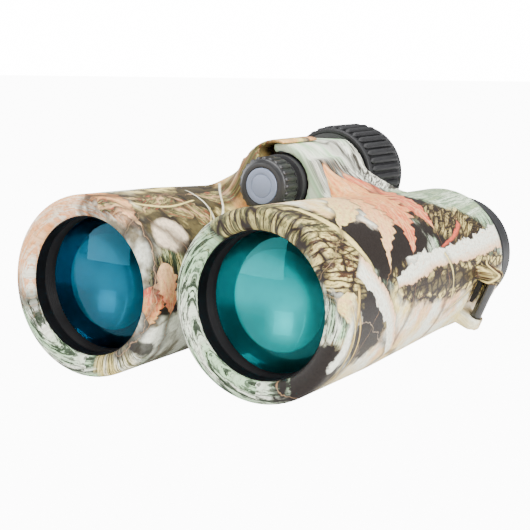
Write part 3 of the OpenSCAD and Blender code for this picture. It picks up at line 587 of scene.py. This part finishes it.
def left_print(tree, film):
    ground = pale_bark(tree, film, 6, MINT, MOSS)
    soft_peach = mix(tree, ramp(tree, noise(tree, film, 0.05, 3), 0.4, 0.6), BLUSH, CREAM)
    pale = mix(tree, ramp(tree, noise(tree, film, 0.09, 4), 0.42, 0.6), soft_peach, WHITE_BARK)
    fine_bark = pale_bark(tree, film, 84, SAGE, MOSS)
    green_bark = mix(tree, 0.4, fine_bark, MINT, "MIX")
    brown_wood = ridged_bark(tree, film, 60, BROWN, TAUPE, UMBER, 0.5, 5.0)
    knobbly = ridged_bark(tree, film, 80, CREAM, BROWN, UMBER, 0.30, 1.5)
    rim_bark = ridged_bark(tree, film, 94, SAGE, OLIVE, UMBER, 0.40, 5.0)
    rim_brown = ridged_bark(tree, film, 100, CREAM, BROWN, UMBER, 0.42, 3.2)

    ground = lay_patch(tree, film, ground, pale, (58, 62), 0, 22, 66, 0.5)
    ground = lay_patch(tree, film, ground, pale, (0, 26), 30, 26, 26, 0.5)
    ground = lay_patch(tree, film, ground, green_bark, (4, 92), 0, 21, 40, 0.9)
    ground = lay_patch(tree, film, ground, pale_bark(tree, film, 30, WHITE_BARK, UMBER), (-18, 78), 0,
                       16, 26, 0.6)
    ground = lay_patch(tree, film, ground, TAUPE, (20, 76), -38, 20, 13, 1.4)
    ground = lay_patch(tree, film, ground, brown_wood, (24, 88), -70, 26, 9, 1.2)
    ground = lay_patch(tree, film, ground, TAUPE, (29, 30), -56, 26, 9, 1.3)
    ground = lay_patch(tree, film, ground, TAUPE, (27, 46), -10, 9, 18, 1.2)
    ground = lay_patch(tree, film, ground, TAUPE, (45, 15), 15, 14, 12, 1.2)
    ground = lay_patch(tree, film, ground, TAUPE, (64, -2), 0, 14, 8, 1.5)
    ground = lay_patch(tree, film, ground, knobbly, (41, 74), -88, 46, 8.5, 0.9)
    ground = lay_patch(tree, film, ground, UMBER, (43, 70), -86, 30, 3.5, 1.8, strength=0.85)
    ground = lay_patch(tree, film, ground, rim_bark, (10, 2), -14, 30, 12, 0.7)
    ground = lay_patch(tree, film, ground, rim_brown, (29, 4), -20, 11, 11, 0.9)
    ground = lay_patch(tree, film, ground, CREAM, (18, 13), -24, 17, 1.6, 0.8)

    ground = lay_patch(tree, film, ground, knobbly, (52, 100), 0, 10, 8, 1.0)
    ground = lay_leaf(tree, film, ground, (-6, 58), 60, 50, 8, BLUSH, CREAM, 6, 0.2)
    ground = lay_leaf(tree, film, ground, (-9, 62), 38, 54, 9, PEACH, BLUSH, 9, 0.35)
    ground = lay_leaf(tree, film, ground, (-11, 72), 2, 36, 10, SALMON, SALMON, 7, 0.3)
    ground = lay_leaf(tree, film, ground, (-12, 66), 22, 47, 13, PEACH, SALMON, 10, 0.4)
    knuckle = mix(tree, ramp(tree, noise(tree, film, 0.12, 3), 0.42, 0.58), MINT, WHITE_BARK)
    ground = lay_patch(tree, film, ground, knuckle, (-20, 76), 0, 7.5, 24, 0.5)
    ground = lay_patch(tree, film, ground, pale_bark(tree, film, 70, WHITE_BARK, UMBER), (-8, 86), 0, 6,
                       8, 0.8)
    ground = lay_patch(tree, film, ground, WHITE_BARK, (42, 2), -35, 8, 2.6, 1.8)
    ground = lay_leaf(tree, film, ground, (38, -2), -60, 15, 4, CREAM, WHITE_BARK, 3, 0.1)
    ground = lay_patch(tree, film, ground, WHITE_BARK, (52, 2), 20, 9, 2.4, 1.8)

    ground = lay_twig(tree, film, ground, (24, 92), 70, 24, 1.3, SALMON, BROWN, 1.0)
    ground = lay_twig(tree, film, ground, (32, 119), 88, 78, 5.0, WHITE_BARK, BLUSH, 1.4)
    ground = lay_twig(tree, film, ground, (34, 58), 80, 26, 4.0, WHITE_BARK, BLUSH, 0.8)
    ground = lay_twig(tree, film, ground, (30, 12), -40, 42, 4.2, WHITE_BARK, BLUSH, 0.8)
    ground = lay_twig(tree, film, ground, (38, 6), -8, 34, 0.6, STRAW, BROWN, 2.0)
    ground = lay_twig(tree, film, ground, (36, 9), 2, 36, 0.8, STRAW, BROWN, -2.5)
    ground = lay_twig(tree, film, ground, (40, 3), -4, 30, 0.5, CREAM, BROWN, 3.0)
    ground = lay_twig(tree, film, ground, (33, 70), -20, 18, 0.8, CREAM, SAGE, 1.5)
    ground = lay_twig(tree, film, ground, (40, 104), 62, 36, 0.7, CREAM, BROWN, 2.5)
    ground = lay_twig(tree, film, ground, (-24, 62), -60, 30, 0.25, UMBER, UMBER, 2.0)
    return lay_twig(tree, film, ground, (-20, 84), 30, 26, 0.22, UMBER, UMBER, 2.0)


def right_print(tree, film):
    ground = pale_bark(tree, film, 6, MINT, MOSS)
    soft_beige = mix(tree, ramp(tree, noise(tree, film, 0.08, 3), 0.44, 0.58), (0.19, 0.16, 0.10),
                     WHITE_BARK)
    olive_leaves = ridged_bark(tree, film, 40, OLIVE, TAUPE, CREAM, 0.13, 1.6)
    sprig = ridged_bark(tree, film, 0, MINT, MOSS, MOSS, 0.7, 7.0)
    yellow = mix(tree, ramp(tree, noise(tree, film, 0.06, 3), 0.42, 0.58), CREAM, PEACH)

    ground = lay_patch(tree, film, ground, soft_beige, (-34, 24), 0, 40, 42, 0.5)
    ground = lay_patch(tree, film, ground, olive_leaves, (-16, 42), 12, 22, 44, 0.9)
    ground = lay_patch(tree, film, ground, TAUPE, (-9, 46), 30, 9, 15, 1.5, strength=0.92)
    ground = lay_patch(tree, film, ground, TAUPE, (-25, 32), 20, 7, 12, 1.5, strength=0.85)
    ground = lay_patch(tree, film, ground, TAUPE, (-25, 12), 0, 9.5, 11, 0.7, strength=0.9)
    ground = lay_patch(tree, film, ground, mix(tree, 0.5, WHITE_BARK, BLUSH), (-26, 12), 0, 6, 8, 0.7)
    ground = lay_patch(tree, film, ground, TAUPE, (-36, 18), 0, 8, 9, 1.2, strength=0.8)
    ground = lay_patch(tree, film, ground, sprig, (-37, 6), 0, 7, 9, 1.2)
    ground = lay_patch(tree, film, ground, soft_beige, (-22, -4), 0, 13, 5, 0.8)
    ground = lay_patch(tree, film, ground, TAUPE, (-46, 4), 0, 3.4, 10, 0.9)
    ground = lay_patch(tree, film, ground, WHITE_BARK, (-54, 5), 14, 3, 14, 0.6)
    ground = lay_patch(tree, film, ground, TAUPE, (-62, -1), 0, 4, 5, 1.2, strength=0.9)
    ground = lay_patch(tree, film, ground, pale_bark(tree, film, 70, CREAM, OLIVE), (-72, -3), 0, 9, 9,
                       0.8)
    ground = lay_patch(tree, film, ground, yellow, (-17, 68), 0, 14, 13, 0.6)
    ground = lay_patch(tree, film, ground, mix(tree, 0.45, OLIVE, CREAM), (-13, 64), 30, 5, 6, 1.6,
                       strength=0.8)
    ground = lay_patch(tree, film, ground, pale_bark(tree, film, 20, PINK_BARK, UMBER), (-24, 74), 20,
                       6, 16, 0.9)
    ground = lay_patch(tree, film, ground, ridged_bark(tree, film, 84, CREAM, BROWN, UMBER), (40, 74),
                       0, 18, 46, 0.9)

    ground = lay_leaf(tree, film, ground, (-40, -2), 170, 12, 5, SALMON, PEACH, 6, 0.3)
    ground = lay_leaf(tree, film, ground, (-34, 2), -170, 16, 5.5, BLUSH, SALMON, 6, 0.3)
    ground = lay_patch(tree, film, ground, pale_bark(tree, film, 176, BLUSH, PEACH, 0.7), (16, -3), 4,
                       34, 7, 0.9)
    ground = lay_leaf(tree, film, ground, (2, 4), 172, 24, 6, PEACH, BLUSH, 9, 0.3)
    ground = lay_leaf(tree, film, ground, (-4, 62), -130, 26, 6, BLUSH, PEACH, 6, 0.2)
    ground = lay_leaf(tree, film, ground, (-7, -4), -140, 9, 2.2, MOSS, MOSS, 4, 0.5)

    for place, turn, length, width in (((-20, 30), 60, 26, 5), ((-8, 30), 110, 24, 5),
                                       ((-30, 40), 30, 24, 5), ((-14, 60), 80, 22, 4)):
        ground = lay_leaf(tree, film, ground, place, turn, length, width, OLIVE, MOSS, 4, 0.2)
    for turn, reach in ((-52, 30), (-78, 28), (-104, 24), (-20, 22), (-128, 18)):
        ground = lay_twig(tree, film, ground, (-27, 36), turn, reach, 0.75, WHITE_BARK, CREAM, 1.4)
    ground = lay_twig(tree, film, ground, (-32, 20), -60, 26, 0.6, CREAM, SAGE, 2.0)
    return lay_twig(tree, film, ground, (-12, 8), -96, 30, 0.8, CREAM, SAGE, 2.0)


prints = {"left": left_print, "right": right_print}
for side in halves:
    armour = skin_of(side)
    wrap_film(armour, side)
    armour.data.materials.append(camouflage(side + "_camouflage", prints[side]))
    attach(armour, side + "_half")
    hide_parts(side + "_armour")


# ---------- moulded plastic, rubber and metal ----------
# The trim is charcoal plastic and rubber with a fine spark-eroded grain, the inner metal is turned.
def grain_group():
    tree, given, result = new_group("moulded_grain",
                                    [("Scale", "Float"), ("Low", "Float"), ("High", "Float")],
                                    [("Roughness", "Float"), ("Height", "Float"), ("Wear", "Float")])
    place = put(tree, "TexCoord").outputs["Object"]
    fine = noise(tree, place, given["Scale"], 3)
    tree.links.new(fine, result["Height"])
    coarse = noise(tree, place, 90, 4)
    tree.links.new(ramp(tree, coarse, 0.3, 0.7, given["Low"], given["High"]), result["Roughness"])
    tree.links.new(ramp(tree, coarse, 0.35, 0.75), result["Wear"])
    return tree


MOULDED_GRAIN = grain_group()


def moulded(name, tone, worn, low, high, scale=2200, bump=0.15, metallic=0.0, coat=0.0):
    material, tree, shader = new_material(name)
    grain = tree.nodes.new("ShaderNodeGroup")
    grain.node_tree = MOULDED_GRAIN
    grain.inputs["Scale"].default_value = scale
    grain.inputs["Low"].default_value = low
    grain.inputs["High"].default_value = high
    tree.links.new(mix(tree, grain.outputs["Wear"], tone, worn), shader.inputs["Base Color"])
    tree.links.new(grain.outputs["Roughness"], shader.inputs["Roughness"])
    relief = put(tree, "Bump", {"Height": grain.outputs["Height"], "Strength": bump, "Distance": 0.0002})
    tree.links.new(relief.outputs["Normal"], shader.inputs["Normal"])
    shader.inputs["Metallic"].default_value = metallic
    shader.inputs["Coat Weight"].default_value = coat
    shader.inputs["Coat Roughness"].default_value = 0.12
    return material


charcoal_rubber = moulded("charcoal_rubber", (0.010, 0.010, 0.011), (0.018, 0.018, 0.019), 0.42, 0.6)
black_plastic = moulded("black_plastic", (0.012, 0.012, 0.013), (0.020, 0.020, 0.021), 0.3, 0.45)
ring_black = moulded("ring_black", (0.002, 0.002, 0.0025), (0.004, 0.004, 0.005), 0.45, 0.6)
baffle_black = moulded("baffle_black", (0.0025, 0.0025, 0.003), (0.005, 0.005, 0.006), 0.6, 0.8)
gloss_black = moulded("gloss_black", (0.006, 0.006, 0.006), (0.012, 0.012, 0.012), 0.12, 0.22, coat=0.6)
housing_black = moulded("housing_black", (0.02, 0.02, 0.022), (0.035, 0.035, 0.037), 0.4, 0.55)
badge_grey = moulded("badge_grey", (0.20, 0.235, 0.33), (0.25, 0.29, 0.40), 0.3, 0.4, 1500, 0.05, 0.3)
bright_steel = moulded("bright_steel", (0.48, 0.49, 0.5), (0.6, 0.6, 0.61), 0.22, 0.36, 700, 0.06, 1.0)
anodised_black = moulded("anodised_black", (0.03, 0.03, 0.033), (0.05, 0.05, 0.052), 0.3, 0.42, 1500,
                         0.06, 0.7)
brass = moulded("brass", (0.55, 0.36, 0.12), (0.68, 0.47, 0.18), 0.25, 0.38, 700, 0.06, 1.0)


# ---------- glass ----------
# Prisms and inner lenses are clear with a faint green cast; coated faces mirror teal or blue.
def clear_glass(name, tint, coating, coat_weight):
    material, tree, shader = new_material(name)
    place = put(tree, "TexCoord").outputs["Object"]
    cast = mix(tree, ramp(tree, noise(tree, place, 60, 2), 0.3, 0.7), tint, coating)
    tree.links.new(cast, shader.inputs["Base Color"])
    tree.links.new(ramp(tree, noise(tree, place, 400, 2), 0.3, 0.7, 0.0, 0.03),
                   shader.inputs["Roughness"])
    shader.inputs["Transmission Weight"].default_value = 1.0
    shader.inputs["IOR"].default_value = 1.52
    shader.inputs["Coat Weight"].default_value = coat_weight
    shader.inputs["Coat Roughness"].default_value = 0.02
    return material


def mirror_coating(name, ring, disc, painted_glow_tone, centre, disc_r):
    material, tree, shader = new_material(name)
    place = put(tree, "TexCoord").outputs["Object"]
    moved = put(tree, "VectorMath", {0: place, 1: centre}, operation="SUBTRACT").outputs["Vector"]
    flat = put(tree, "VectorMath", {0: moved, 1: (1, 0, 1)}, operation="MULTIPLY").outputs["Vector"]
    reach = put(tree, "VectorMath", {0: flat}, operation="LENGTH").outputs["Value"]
    split = put(tree, "SeparateXYZ", {"Vector": flat})
    # Painted reflection: the inner disc is painted bright teal at its bottom, fading to the plain disc
    # tone at its top.
    height = ramp(tree, split.outputs["Z"], -0.016, 0.012)
    inner = mix(tree, height, painted_glow_tone, disc)
    tone = mix(tree, ramp(tree, reach, disc_r - 0.0002, disc_r + 0.0002), inner, ring)
    tone = mix(tree, ramp(tree, noise(tree, place, 120, 2), 0.3, 0.7, 0.0, 0.12), tone, ring)
    tree.links.new(tone, shader.inputs["Base Color"])
    tree.links.new(ramp(tree, noise(tree, place, 300, 2), 0.3, 0.7, 0.34, 0.40),
                   shader.inputs["Roughness"])
    shader.inputs["Metallic"].default_value = 1.0
    return material


inner_glass = clear_glass("inner_glass", (0.86, 0.95, 0.92), (0.80, 0.93, 0.95), 0.3)
eye_glass = clear_glass("eye_glass", (0.30, 0.36, 0.52), (0.20, 0.32, 0.42), 0.6)
front_glass = {
    "left": clear_glass("left_front_glass", (0.03, 0.78, 0.79), (0.02, 0.70, 0.73), 0.0),
    "right": clear_glass("right_front_glass", (0.03, 0.54, 0.68), (0.02, 0.46, 0.62), 0.0),
}
ring_black.node_tree.nodes["Principled BSDF"].inputs["Specular IOR Level"].default_value = 0.12
charcoal_rubber.node_tree.nodes["Principled BSDF"].inputs["Specular IOR Level"].default_value = 0.3
front_glass["left"].node_tree.nodes["Principled BSDF"].inputs["Specular Tint"].default_value = (0.035,
        0.75, 0.77, 1)
front_glass["right"].node_tree.nodes["Principled BSDF"].inputs["Specular Tint"].default_value = (0.04,
        0.44, 0.70, 1)


# ---------- objective lenses ----------
# A cemented pair sits behind each ridged ring: a bulging front lens and a thin one behind it, whose back
# carries the coloured coating. The coating's inner disc is painted brighter towards its bottom, a painted
# reflection.
def lathe(name, axis, profile, segments=128, wrap=True):
    x0, z0 = axis
    points = []
    for k in range(segments):
        a = 2 * math.pi * k / segments
        points += [(x0 + r * math.cos(a), y, z0 + r * math.sin(a)) for r, y in profile]
    n = len(profile)
    faces = []
    for k in range(segments):
        here, there = k * n, (k + 1) % segments * n
        for i in range(n if wrap else n - 1):
            j = (i + 1) % n
            faces.append((here + i, here + j, there + j, there + i))
    mesh = bpy.data.meshes.new(name)
    mesh.from_pydata(points, [], faces)
    shape = bmesh.new()
    shape.from_mesh(mesh)
    bmesh.ops.remove_doubles(shape, verts=shape.verts, dist=1e-6)
    bmesh.ops.dissolve_degenerate(shape, edges=shape.edges, dist=1e-7)
    bmesh.ops.recalc_face_normals(shape, faces=shape.faces)
    shape.to_mesh(mesh)
    shape.free()
    mesh.shade_smooth()
    mesh.set_sharp_from_angle(angle=math.radians(38))
    piece = bpy.data.objects.new(name, mesh)
    scene_objects.link(piece)
    return piece


def finish_piece(piece, body, node, material):
    if material is not None:
        piece.data.materials.append(material)
    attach(piece, body)
    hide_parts(*([node] if isinstance(node, str) else node))


def dome(radius, vertex, curve_r, count=14):
    return [(radius * t, vertex + curve_r - math.copysign(math.sqrt(curve_r ** 2 - (radius * t) ** 2),
                                                          curve_r))
            for t in (i / count for i in range(count + 1))]


lens_edge_r = 0.5 * (lens_high.x - lens_low.x)
crown_front = lens_low.y
crown_depth, flint_start, flint_end = 0.0076, 0.00765, 0.0102
front_curve_r, cement_curve_r, back_curve_r = 0.088, -0.066, -0.2
bright_disc_r = 0.0148
for side in halves:
    axis = barrel_axis[side]
    body = side + "_half"
    front = dome(lens_edge_r, crown_front, front_curve_r)
    cement = dome(lens_edge_r, crown_front + crown_depth, cement_curve_r)
    crown = lathe(side + "_front_lens", axis, front + cement[::-1])
    finish_piece(crown, body, side + "_objective_crown", front_glass[side])
    behind = dome(lens_edge_r, crown_front + flint_start, cement_curve_r)
    back = dome(lens_edge_r, crown_front + flint_end, back_curve_r)
    flint = lathe(side + "_back_lens", axis, behind + back[::-1])
    # The third tone of each side is the painted reflection at the bottom of the inner disc.
    coating_tones_and_painted_glow = {
        "left": ((0.0, 0.12, 0.13), (0.0, 0.33, 0.34), (0.0, 0.82, 0.79)),
        "right": ((0.0, 0.05, 0.08), (0.0, 0.26, 0.27), (0.0, 0.46, 0.46)),
    }[side]
    flint.data.materials.append(mirror_coating(side + "_coating", *coating_tones_and_painted_glow, (axis[0], 0, axis[1]),
                                               bright_disc_r))
    finish_piece(flint, body, side + "_objective_flint", None)


# ---------- ribbed wheel and tripod cap ----------
# Both are turned bodies with rounded ribs moulded around them, 36 on the wheel and 24 on the cap.
def rib_tree():
    tree = bpy.data.node_groups.new("rounded_ribs", "GeometryNodeTree")
    kinds = (("Count", "Int"), ("Radius", "Float"), ("Half Width", "Float"), ("Half Depth", "Float"),
             ("Start", "Float"), ("End", "Float"), ("Material", "Material"))
    for label, kind in kinds:
        tree.interface.new_socket(label, in_out="INPUT", socket_type="NodeSocket" + kind)
    tree.interface.new_socket("Geometry", in_out="OUTPUT", socket_type="NodeSocketGeometry")
    made = tree.nodes.new
    link = tree.links.new
    given = made("NodeGroupInput").outputs
    line = made("GeometryNodeCurvePrimitiveLine")
    start, end = made("ShaderNodeCombineXYZ"), made("ShaderNodeCombineXYZ")
    link(given["Start"], start.inputs["Y"])
    link(given["End"], end.inputs["Y"])
    link(start.outputs[0], line.inputs["Start"])
    link(end.outputs[0], line.inputs["End"])
    fine = made("GeometryNodeResampleCurve")
    fine.inputs["Count"].default_value = 21
    link(line.outputs[0], fine.inputs["Curve"])
    factor = made("GeometryNodeSplineParameter")
    swing = made("ShaderNodeMath")
    swing.operation = "MULTIPLY_ADD"
    swing.inputs[1].default_value = 2
    swing.inputs[2].default_value = -1
    link(factor.outputs["Factor"], swing.inputs[0])
    steep = made("ShaderNodeMath")
    steep.operation = "POWER"
    steep.inputs[1].default_value = 10
    link(swing.outputs[0], steep.inputs[0])
    round_off = made("ShaderNodeMath")
    round_off.operation = "SUBTRACT"
    round_off.inputs[0].default_value = 1.0
    link(steep.outputs[0], round_off.inputs[1])
    root = made("ShaderNodeMath")
    root.operation = "SQRT"
    link(round_off.outputs[0], root.inputs[0])
    swollen = made("GeometryNodeSetCurveRadius")
    link(fine.outputs[0], swollen.inputs["Curve"])
    link(root.outputs[0], swollen.inputs["Radius"])
    circle = made("GeometryNodeCurvePrimitiveCircle")
    circle.inputs["Resolution"].default_value = 16
    circle.inputs["Radius"].default_value = 1.0
    tube = made("GeometryNodeCurveToMesh")
    link(swollen.outputs[0], tube.inputs["Curve"])
    link(circle.outputs["Curve"], tube.inputs["Profile Curve"])
    if "Scale" in tube.inputs:
        link(root.outputs[0], tube.inputs["Scale"])
    tube.inputs["Fill Caps"].default_value = True
    placed = made("GeometryNodeTransform")
    size, out = made("ShaderNodeCombineXYZ"), made("ShaderNodeCombineXYZ")
    size.inputs["Y"].default_value = 1.0
    link(given["Half Depth"], size.inputs["X"])
    link(given["Half Width"], size.inputs["Z"])
    link(given["Radius"], out.inputs["X"])
    link(tube.outputs[0], placed.inputs["Geometry"])
    link(size.outputs[0], placed.inputs["Scale"])
    link(out.outputs[0], placed.inputs["Translation"])
    spots = made("GeometryNodePoints")
    link(given["Count"], spots.inputs["Count"])
    index = made("GeometryNodeInputIndex")
    step = made("ShaderNodeMath")
    step.operation = "DIVIDE"
    step.inputs[0].default_value = 2 * math.pi
    link(given["Count"], step.inputs[1])
    angle = made("ShaderNodeMath")
    angle.operation = "MULTIPLY"
    link(index.outputs[0], angle.inputs[0])
    link(step.outputs[0], angle.inputs[1])
    turn = made("ShaderNodeCombineXYZ")
    link(angle.outputs[0], turn.inputs["Y"])
    around = made("GeometryNodeInstanceOnPoints")
    link(spots.outputs[0], around.inputs["Points"])
    link(placed.outputs[0], around.inputs["Instance"])
    link(turn.outputs[0], around.inputs["Rotation"])
    real = made("GeometryNodeRealizeInstances")
    link(around.outputs[0], real.inputs["Geometry"])
    painted = made("GeometryNodeSetMaterial")
    link(real.outputs[0], painted.inputs["Geometry"])
    link(given["Material"], painted.inputs["Material"])
    smooth = made("GeometryNodeSetShadeSmooth")
    link(painted.outputs[0], smooth.inputs["Geometry"])
    link(smooth.outputs[0], made("NodeGroupOutput").inputs["Geometry"])
    return tree


ROUNDED_RIBS = rib_tree()


def ribs(name, body, material, slot, **values):
    piece = bpy.data.objects.new(name, bpy.data.meshes.new(name))
    scene_objects.link(piece)
    maker = piece.modifiers.new("ribs", "NODES")
    maker.node_group = ROUNDED_RIBS
    sockets = ROUNDED_RIBS.interface.items_tree
    identifiers = {item.name: item.identifier for item in sockets if item.in_out == "INPUT"}
    values["Material"] = material
    for label, value in values.items():
        maker[identifiers[label.replace("_", " ")]] = value
    apply_modifiers(piece)
    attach(piece, body)
    return piece


def rounded(corners, radius, steps=4):
    result = []
    n = len(corners)
    for i, here in enumerate(corners):
        here = Vector(here)
        before, after = Vector(corners[i - 1]) - here, Vector(corners[(i + 1) % n]) - here
        if min(before.length, after.length) < 1e-6 or here.x < 1e-6:
            result.append(tuple(here))
            continue
        reach = min(radius, 0.45 * before.length, 0.45 * after.length)
        a, b = here + before.normalized() * reach, here + after.normalized() * reach
        for k in range(steps + 1):
            t = k / steps
            result.append(tuple((1 - t) ** 2 * a + 2 * t * (1 - t) * here + t * t * b))
    return result


wheel_low, wheel_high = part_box("focus_wheel_grip")
wheel_r = 0.5 * (wheel_high.x - wheel_low.x)
hub_low, hub_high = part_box("focus_wheel_hub")
hub_r = 0.5 * (hub_high.x - hub_low.x)
wheel_front, wheel_back = wheel_low.y, wheel_high.y
tyre = lathe("wheel_tyre", hinge_axis, rounded([
    (hub_r, wheel_front), (wheel_r - 0.0010, wheel_front), (wheel_r - 0.0008, wheel_front + 0.0016),
    (wheel_r - 0.0013, wheel_front + 0.0021), (wheel_r - 0.0013, wheel_back - 0.0021),
    (wheel_r - 0.0008, wheel_back - 0.0016), (wheel_r - 0.0010, wheel_back), (hub_r, wheel_back),
], 0.0006))
finish_piece(tyre, "focus_wheel", "focus_wheel_grip", charcoal_rubber)
ribs("wheel_ribs", "focus_wheel", charcoal_rubber, "charcoal_rubber", Count=36, Radius=wheel_r - 0.0010,
     Half_Width=0.00118, Half_Depth=0.0010, Start=wheel_front + 0.0017, End=wheel_back - 0.0017)

cap_low, cap_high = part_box("tripod_cap")
cap_r = 0.5 * (cap_high.x - cap_low.x)
badge_low, badge_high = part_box("tripod_cap_badge")
badge_r = 0.5 * (badge_high.x - badge_low.x)
cap_front, cap_back = cap_low.y, cap_high.y
cap_body = lathe("tripod_cap_body", hinge_axis, rounded([
    (0, cap_front + 0.0006), (badge_r + 0.0001, cap_front + 0.0006), (badge_r + 0.0001, cap_front),
    (cap_r - 0.0019, cap_front), (cap_r - 0.0008, cap_front + 0.0006), (cap_r - 0.0006,
                                                                        cap_front + 0.0014),
    (cap_r - 0.0006, cap_back), (0.0066, cap_back), (0.0066, -0.0003), (0, -0.0003),
], 0.00035))
finish_piece(cap_body, "cap", "tripod_cap", black_plastic)
ribs("tripod_cap_ribs", "cap", black_plastic, "black_plastic", Count=24, Radius=cap_r - 0.0007,
     Half_Width=0.00085, Half_Depth=0.0007, Start=cap_front + 0.0009, End=cap_back)
disc_front = badge_low.y
badge = lathe("tripod_cap_disc", hinge_axis, rounded([
    (0, disc_front), (0.62 * badge_r, disc_front), (0.62 * badge_r, disc_front + 0.00018),
    (0.67 * badge_r, disc_front + 0.00018), (0.67 * badge_r, disc_front), (badge_r - 0.0001, disc_front),
    (badge_r, disc_front + 0.0002), (badge_r, disc_front + 0.00065), (0, disc_front + 0.00065),
], 0.00006))
finish_piece(badge, "cap", "tripod_cap_badge", badge_grey)


# ---------- strap bars ----------
# A glossy black bar with rounded ends crosses the pocket of each lug.
def strap_bar(side):
    mesh = merged_copy(side + "_strap_bar", side + "_lug_bar")
    bevel = mesh.modifiers.new("round", "BEVEL")
    bevel.width = 0.0006
    bevel.segments = 3
    bevel.limit_method = "ANGLE"
    apply_modifiers(mesh)
    mesh.data.shade_smooth()
    return mesh


for side in halves:
    finish_piece(strap_bar(side), side + "_half", side + "_strap_bar", gloss_black)


# ---------- eyecups ----------
# Each twist-up cup is a soft rubber sleeve that tapers to a rolled lip, with a shallow grip band. Known
# faults: the guide sleeves made here ride the halves, although their nodes are on the eyecup sliders,
# and the right one is longer than its node.
longer = {"left": 0.0, "right": 0.0023}
for side in halves:
    node = side + "_eyecup_rubber"
    low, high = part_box(node)
    base_r = 0.5 * (high.x - low.x)
    end_r = base_r - 0.0022
    start, end = low.y, high.y
    cup = lathe(node + "_sleeve", barrel_axis[side], rounded([
        (0.0186, start), (base_r - 0.0004, start), (base_r, start + 0.0006), (base_r - 0.0002,
                                                                              start + 0.0030),
        (base_r - 0.0007, start + 0.0034), (base_r - 0.0009, start + 0.0042), (base_r - 0.0006,
                                                                               start + 0.0048),
        (end_r + 0.0004, end - 0.0020), (end_r - 0.0004, end), (0.0136, end), (0.0134, end - 0.0018),
        (0.0150, end - 0.0022), (0.0186, end - 0.0025),
    ], 0.0004))
    finish_piece(cup, side + "_eyecup", node, charcoal_rubber)
    low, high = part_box(side + "_eyecup_guide")
    outer, reach = 0.5 * (high.x - low.x), high.y + longer[side]
    inner = outer - 0.0007
    sleeve = lathe(side + "_guide_sleeve", barrel_axis[side],
                   [(inner, low.y), (outer, low.y), (outer, reach), (inner, reach)])
    finish_piece(sleeve, side + "_half", side + "_eyecup_guide", black_plastic)


# ---------- finishes of the carried-over pieces ----------
# What lies inside keeps its CAD shape: blackened metal, turned steel and brass, and clear glass.
finishes = {
    "housing": housing_black, "objective_ring": ring_black, "objective_cell": baffle_black,
    "focus_guide": baffle_black, "focus_cell": anodised_black, "focus_lens": inner_glass,
    "focus_arm": bright_steel, "prism_cage": baffle_black, "half_penta_prism": inner_glass,
    "roof_prism": inner_glass, "prism_clip": bright_steel, "eyepiece_tube": black_plastic,
    "field_lens": inner_glass, "eye_lens": eye_glass, "eye_lens_ring": baffle_black,
    "ocular_cell": baffle_black, "eyecup_shell": black_plastic,
    "diopter_ring": charcoal_rubber, "diopter_drive_pin": bright_steel, "hinge_axle": anodised_black,
    "hinge_lock_nut": bright_steel, "hinge_washer": brass, "focus_shaft": bright_steel,
    "focus_spool": brass, "focus_wheel_hub": black_plastic, "focus_wheel_cap": black_plastic,
    "tripod_cap_washer": charcoal_rubber,
}
for name, node_object in nodes.items():
    kind = name.removeprefix("left_").removeprefix("right_")
    if kind in finishes:
        node_object.data.materials.clear()
        node_object.data.materials.append(finishes[kind])
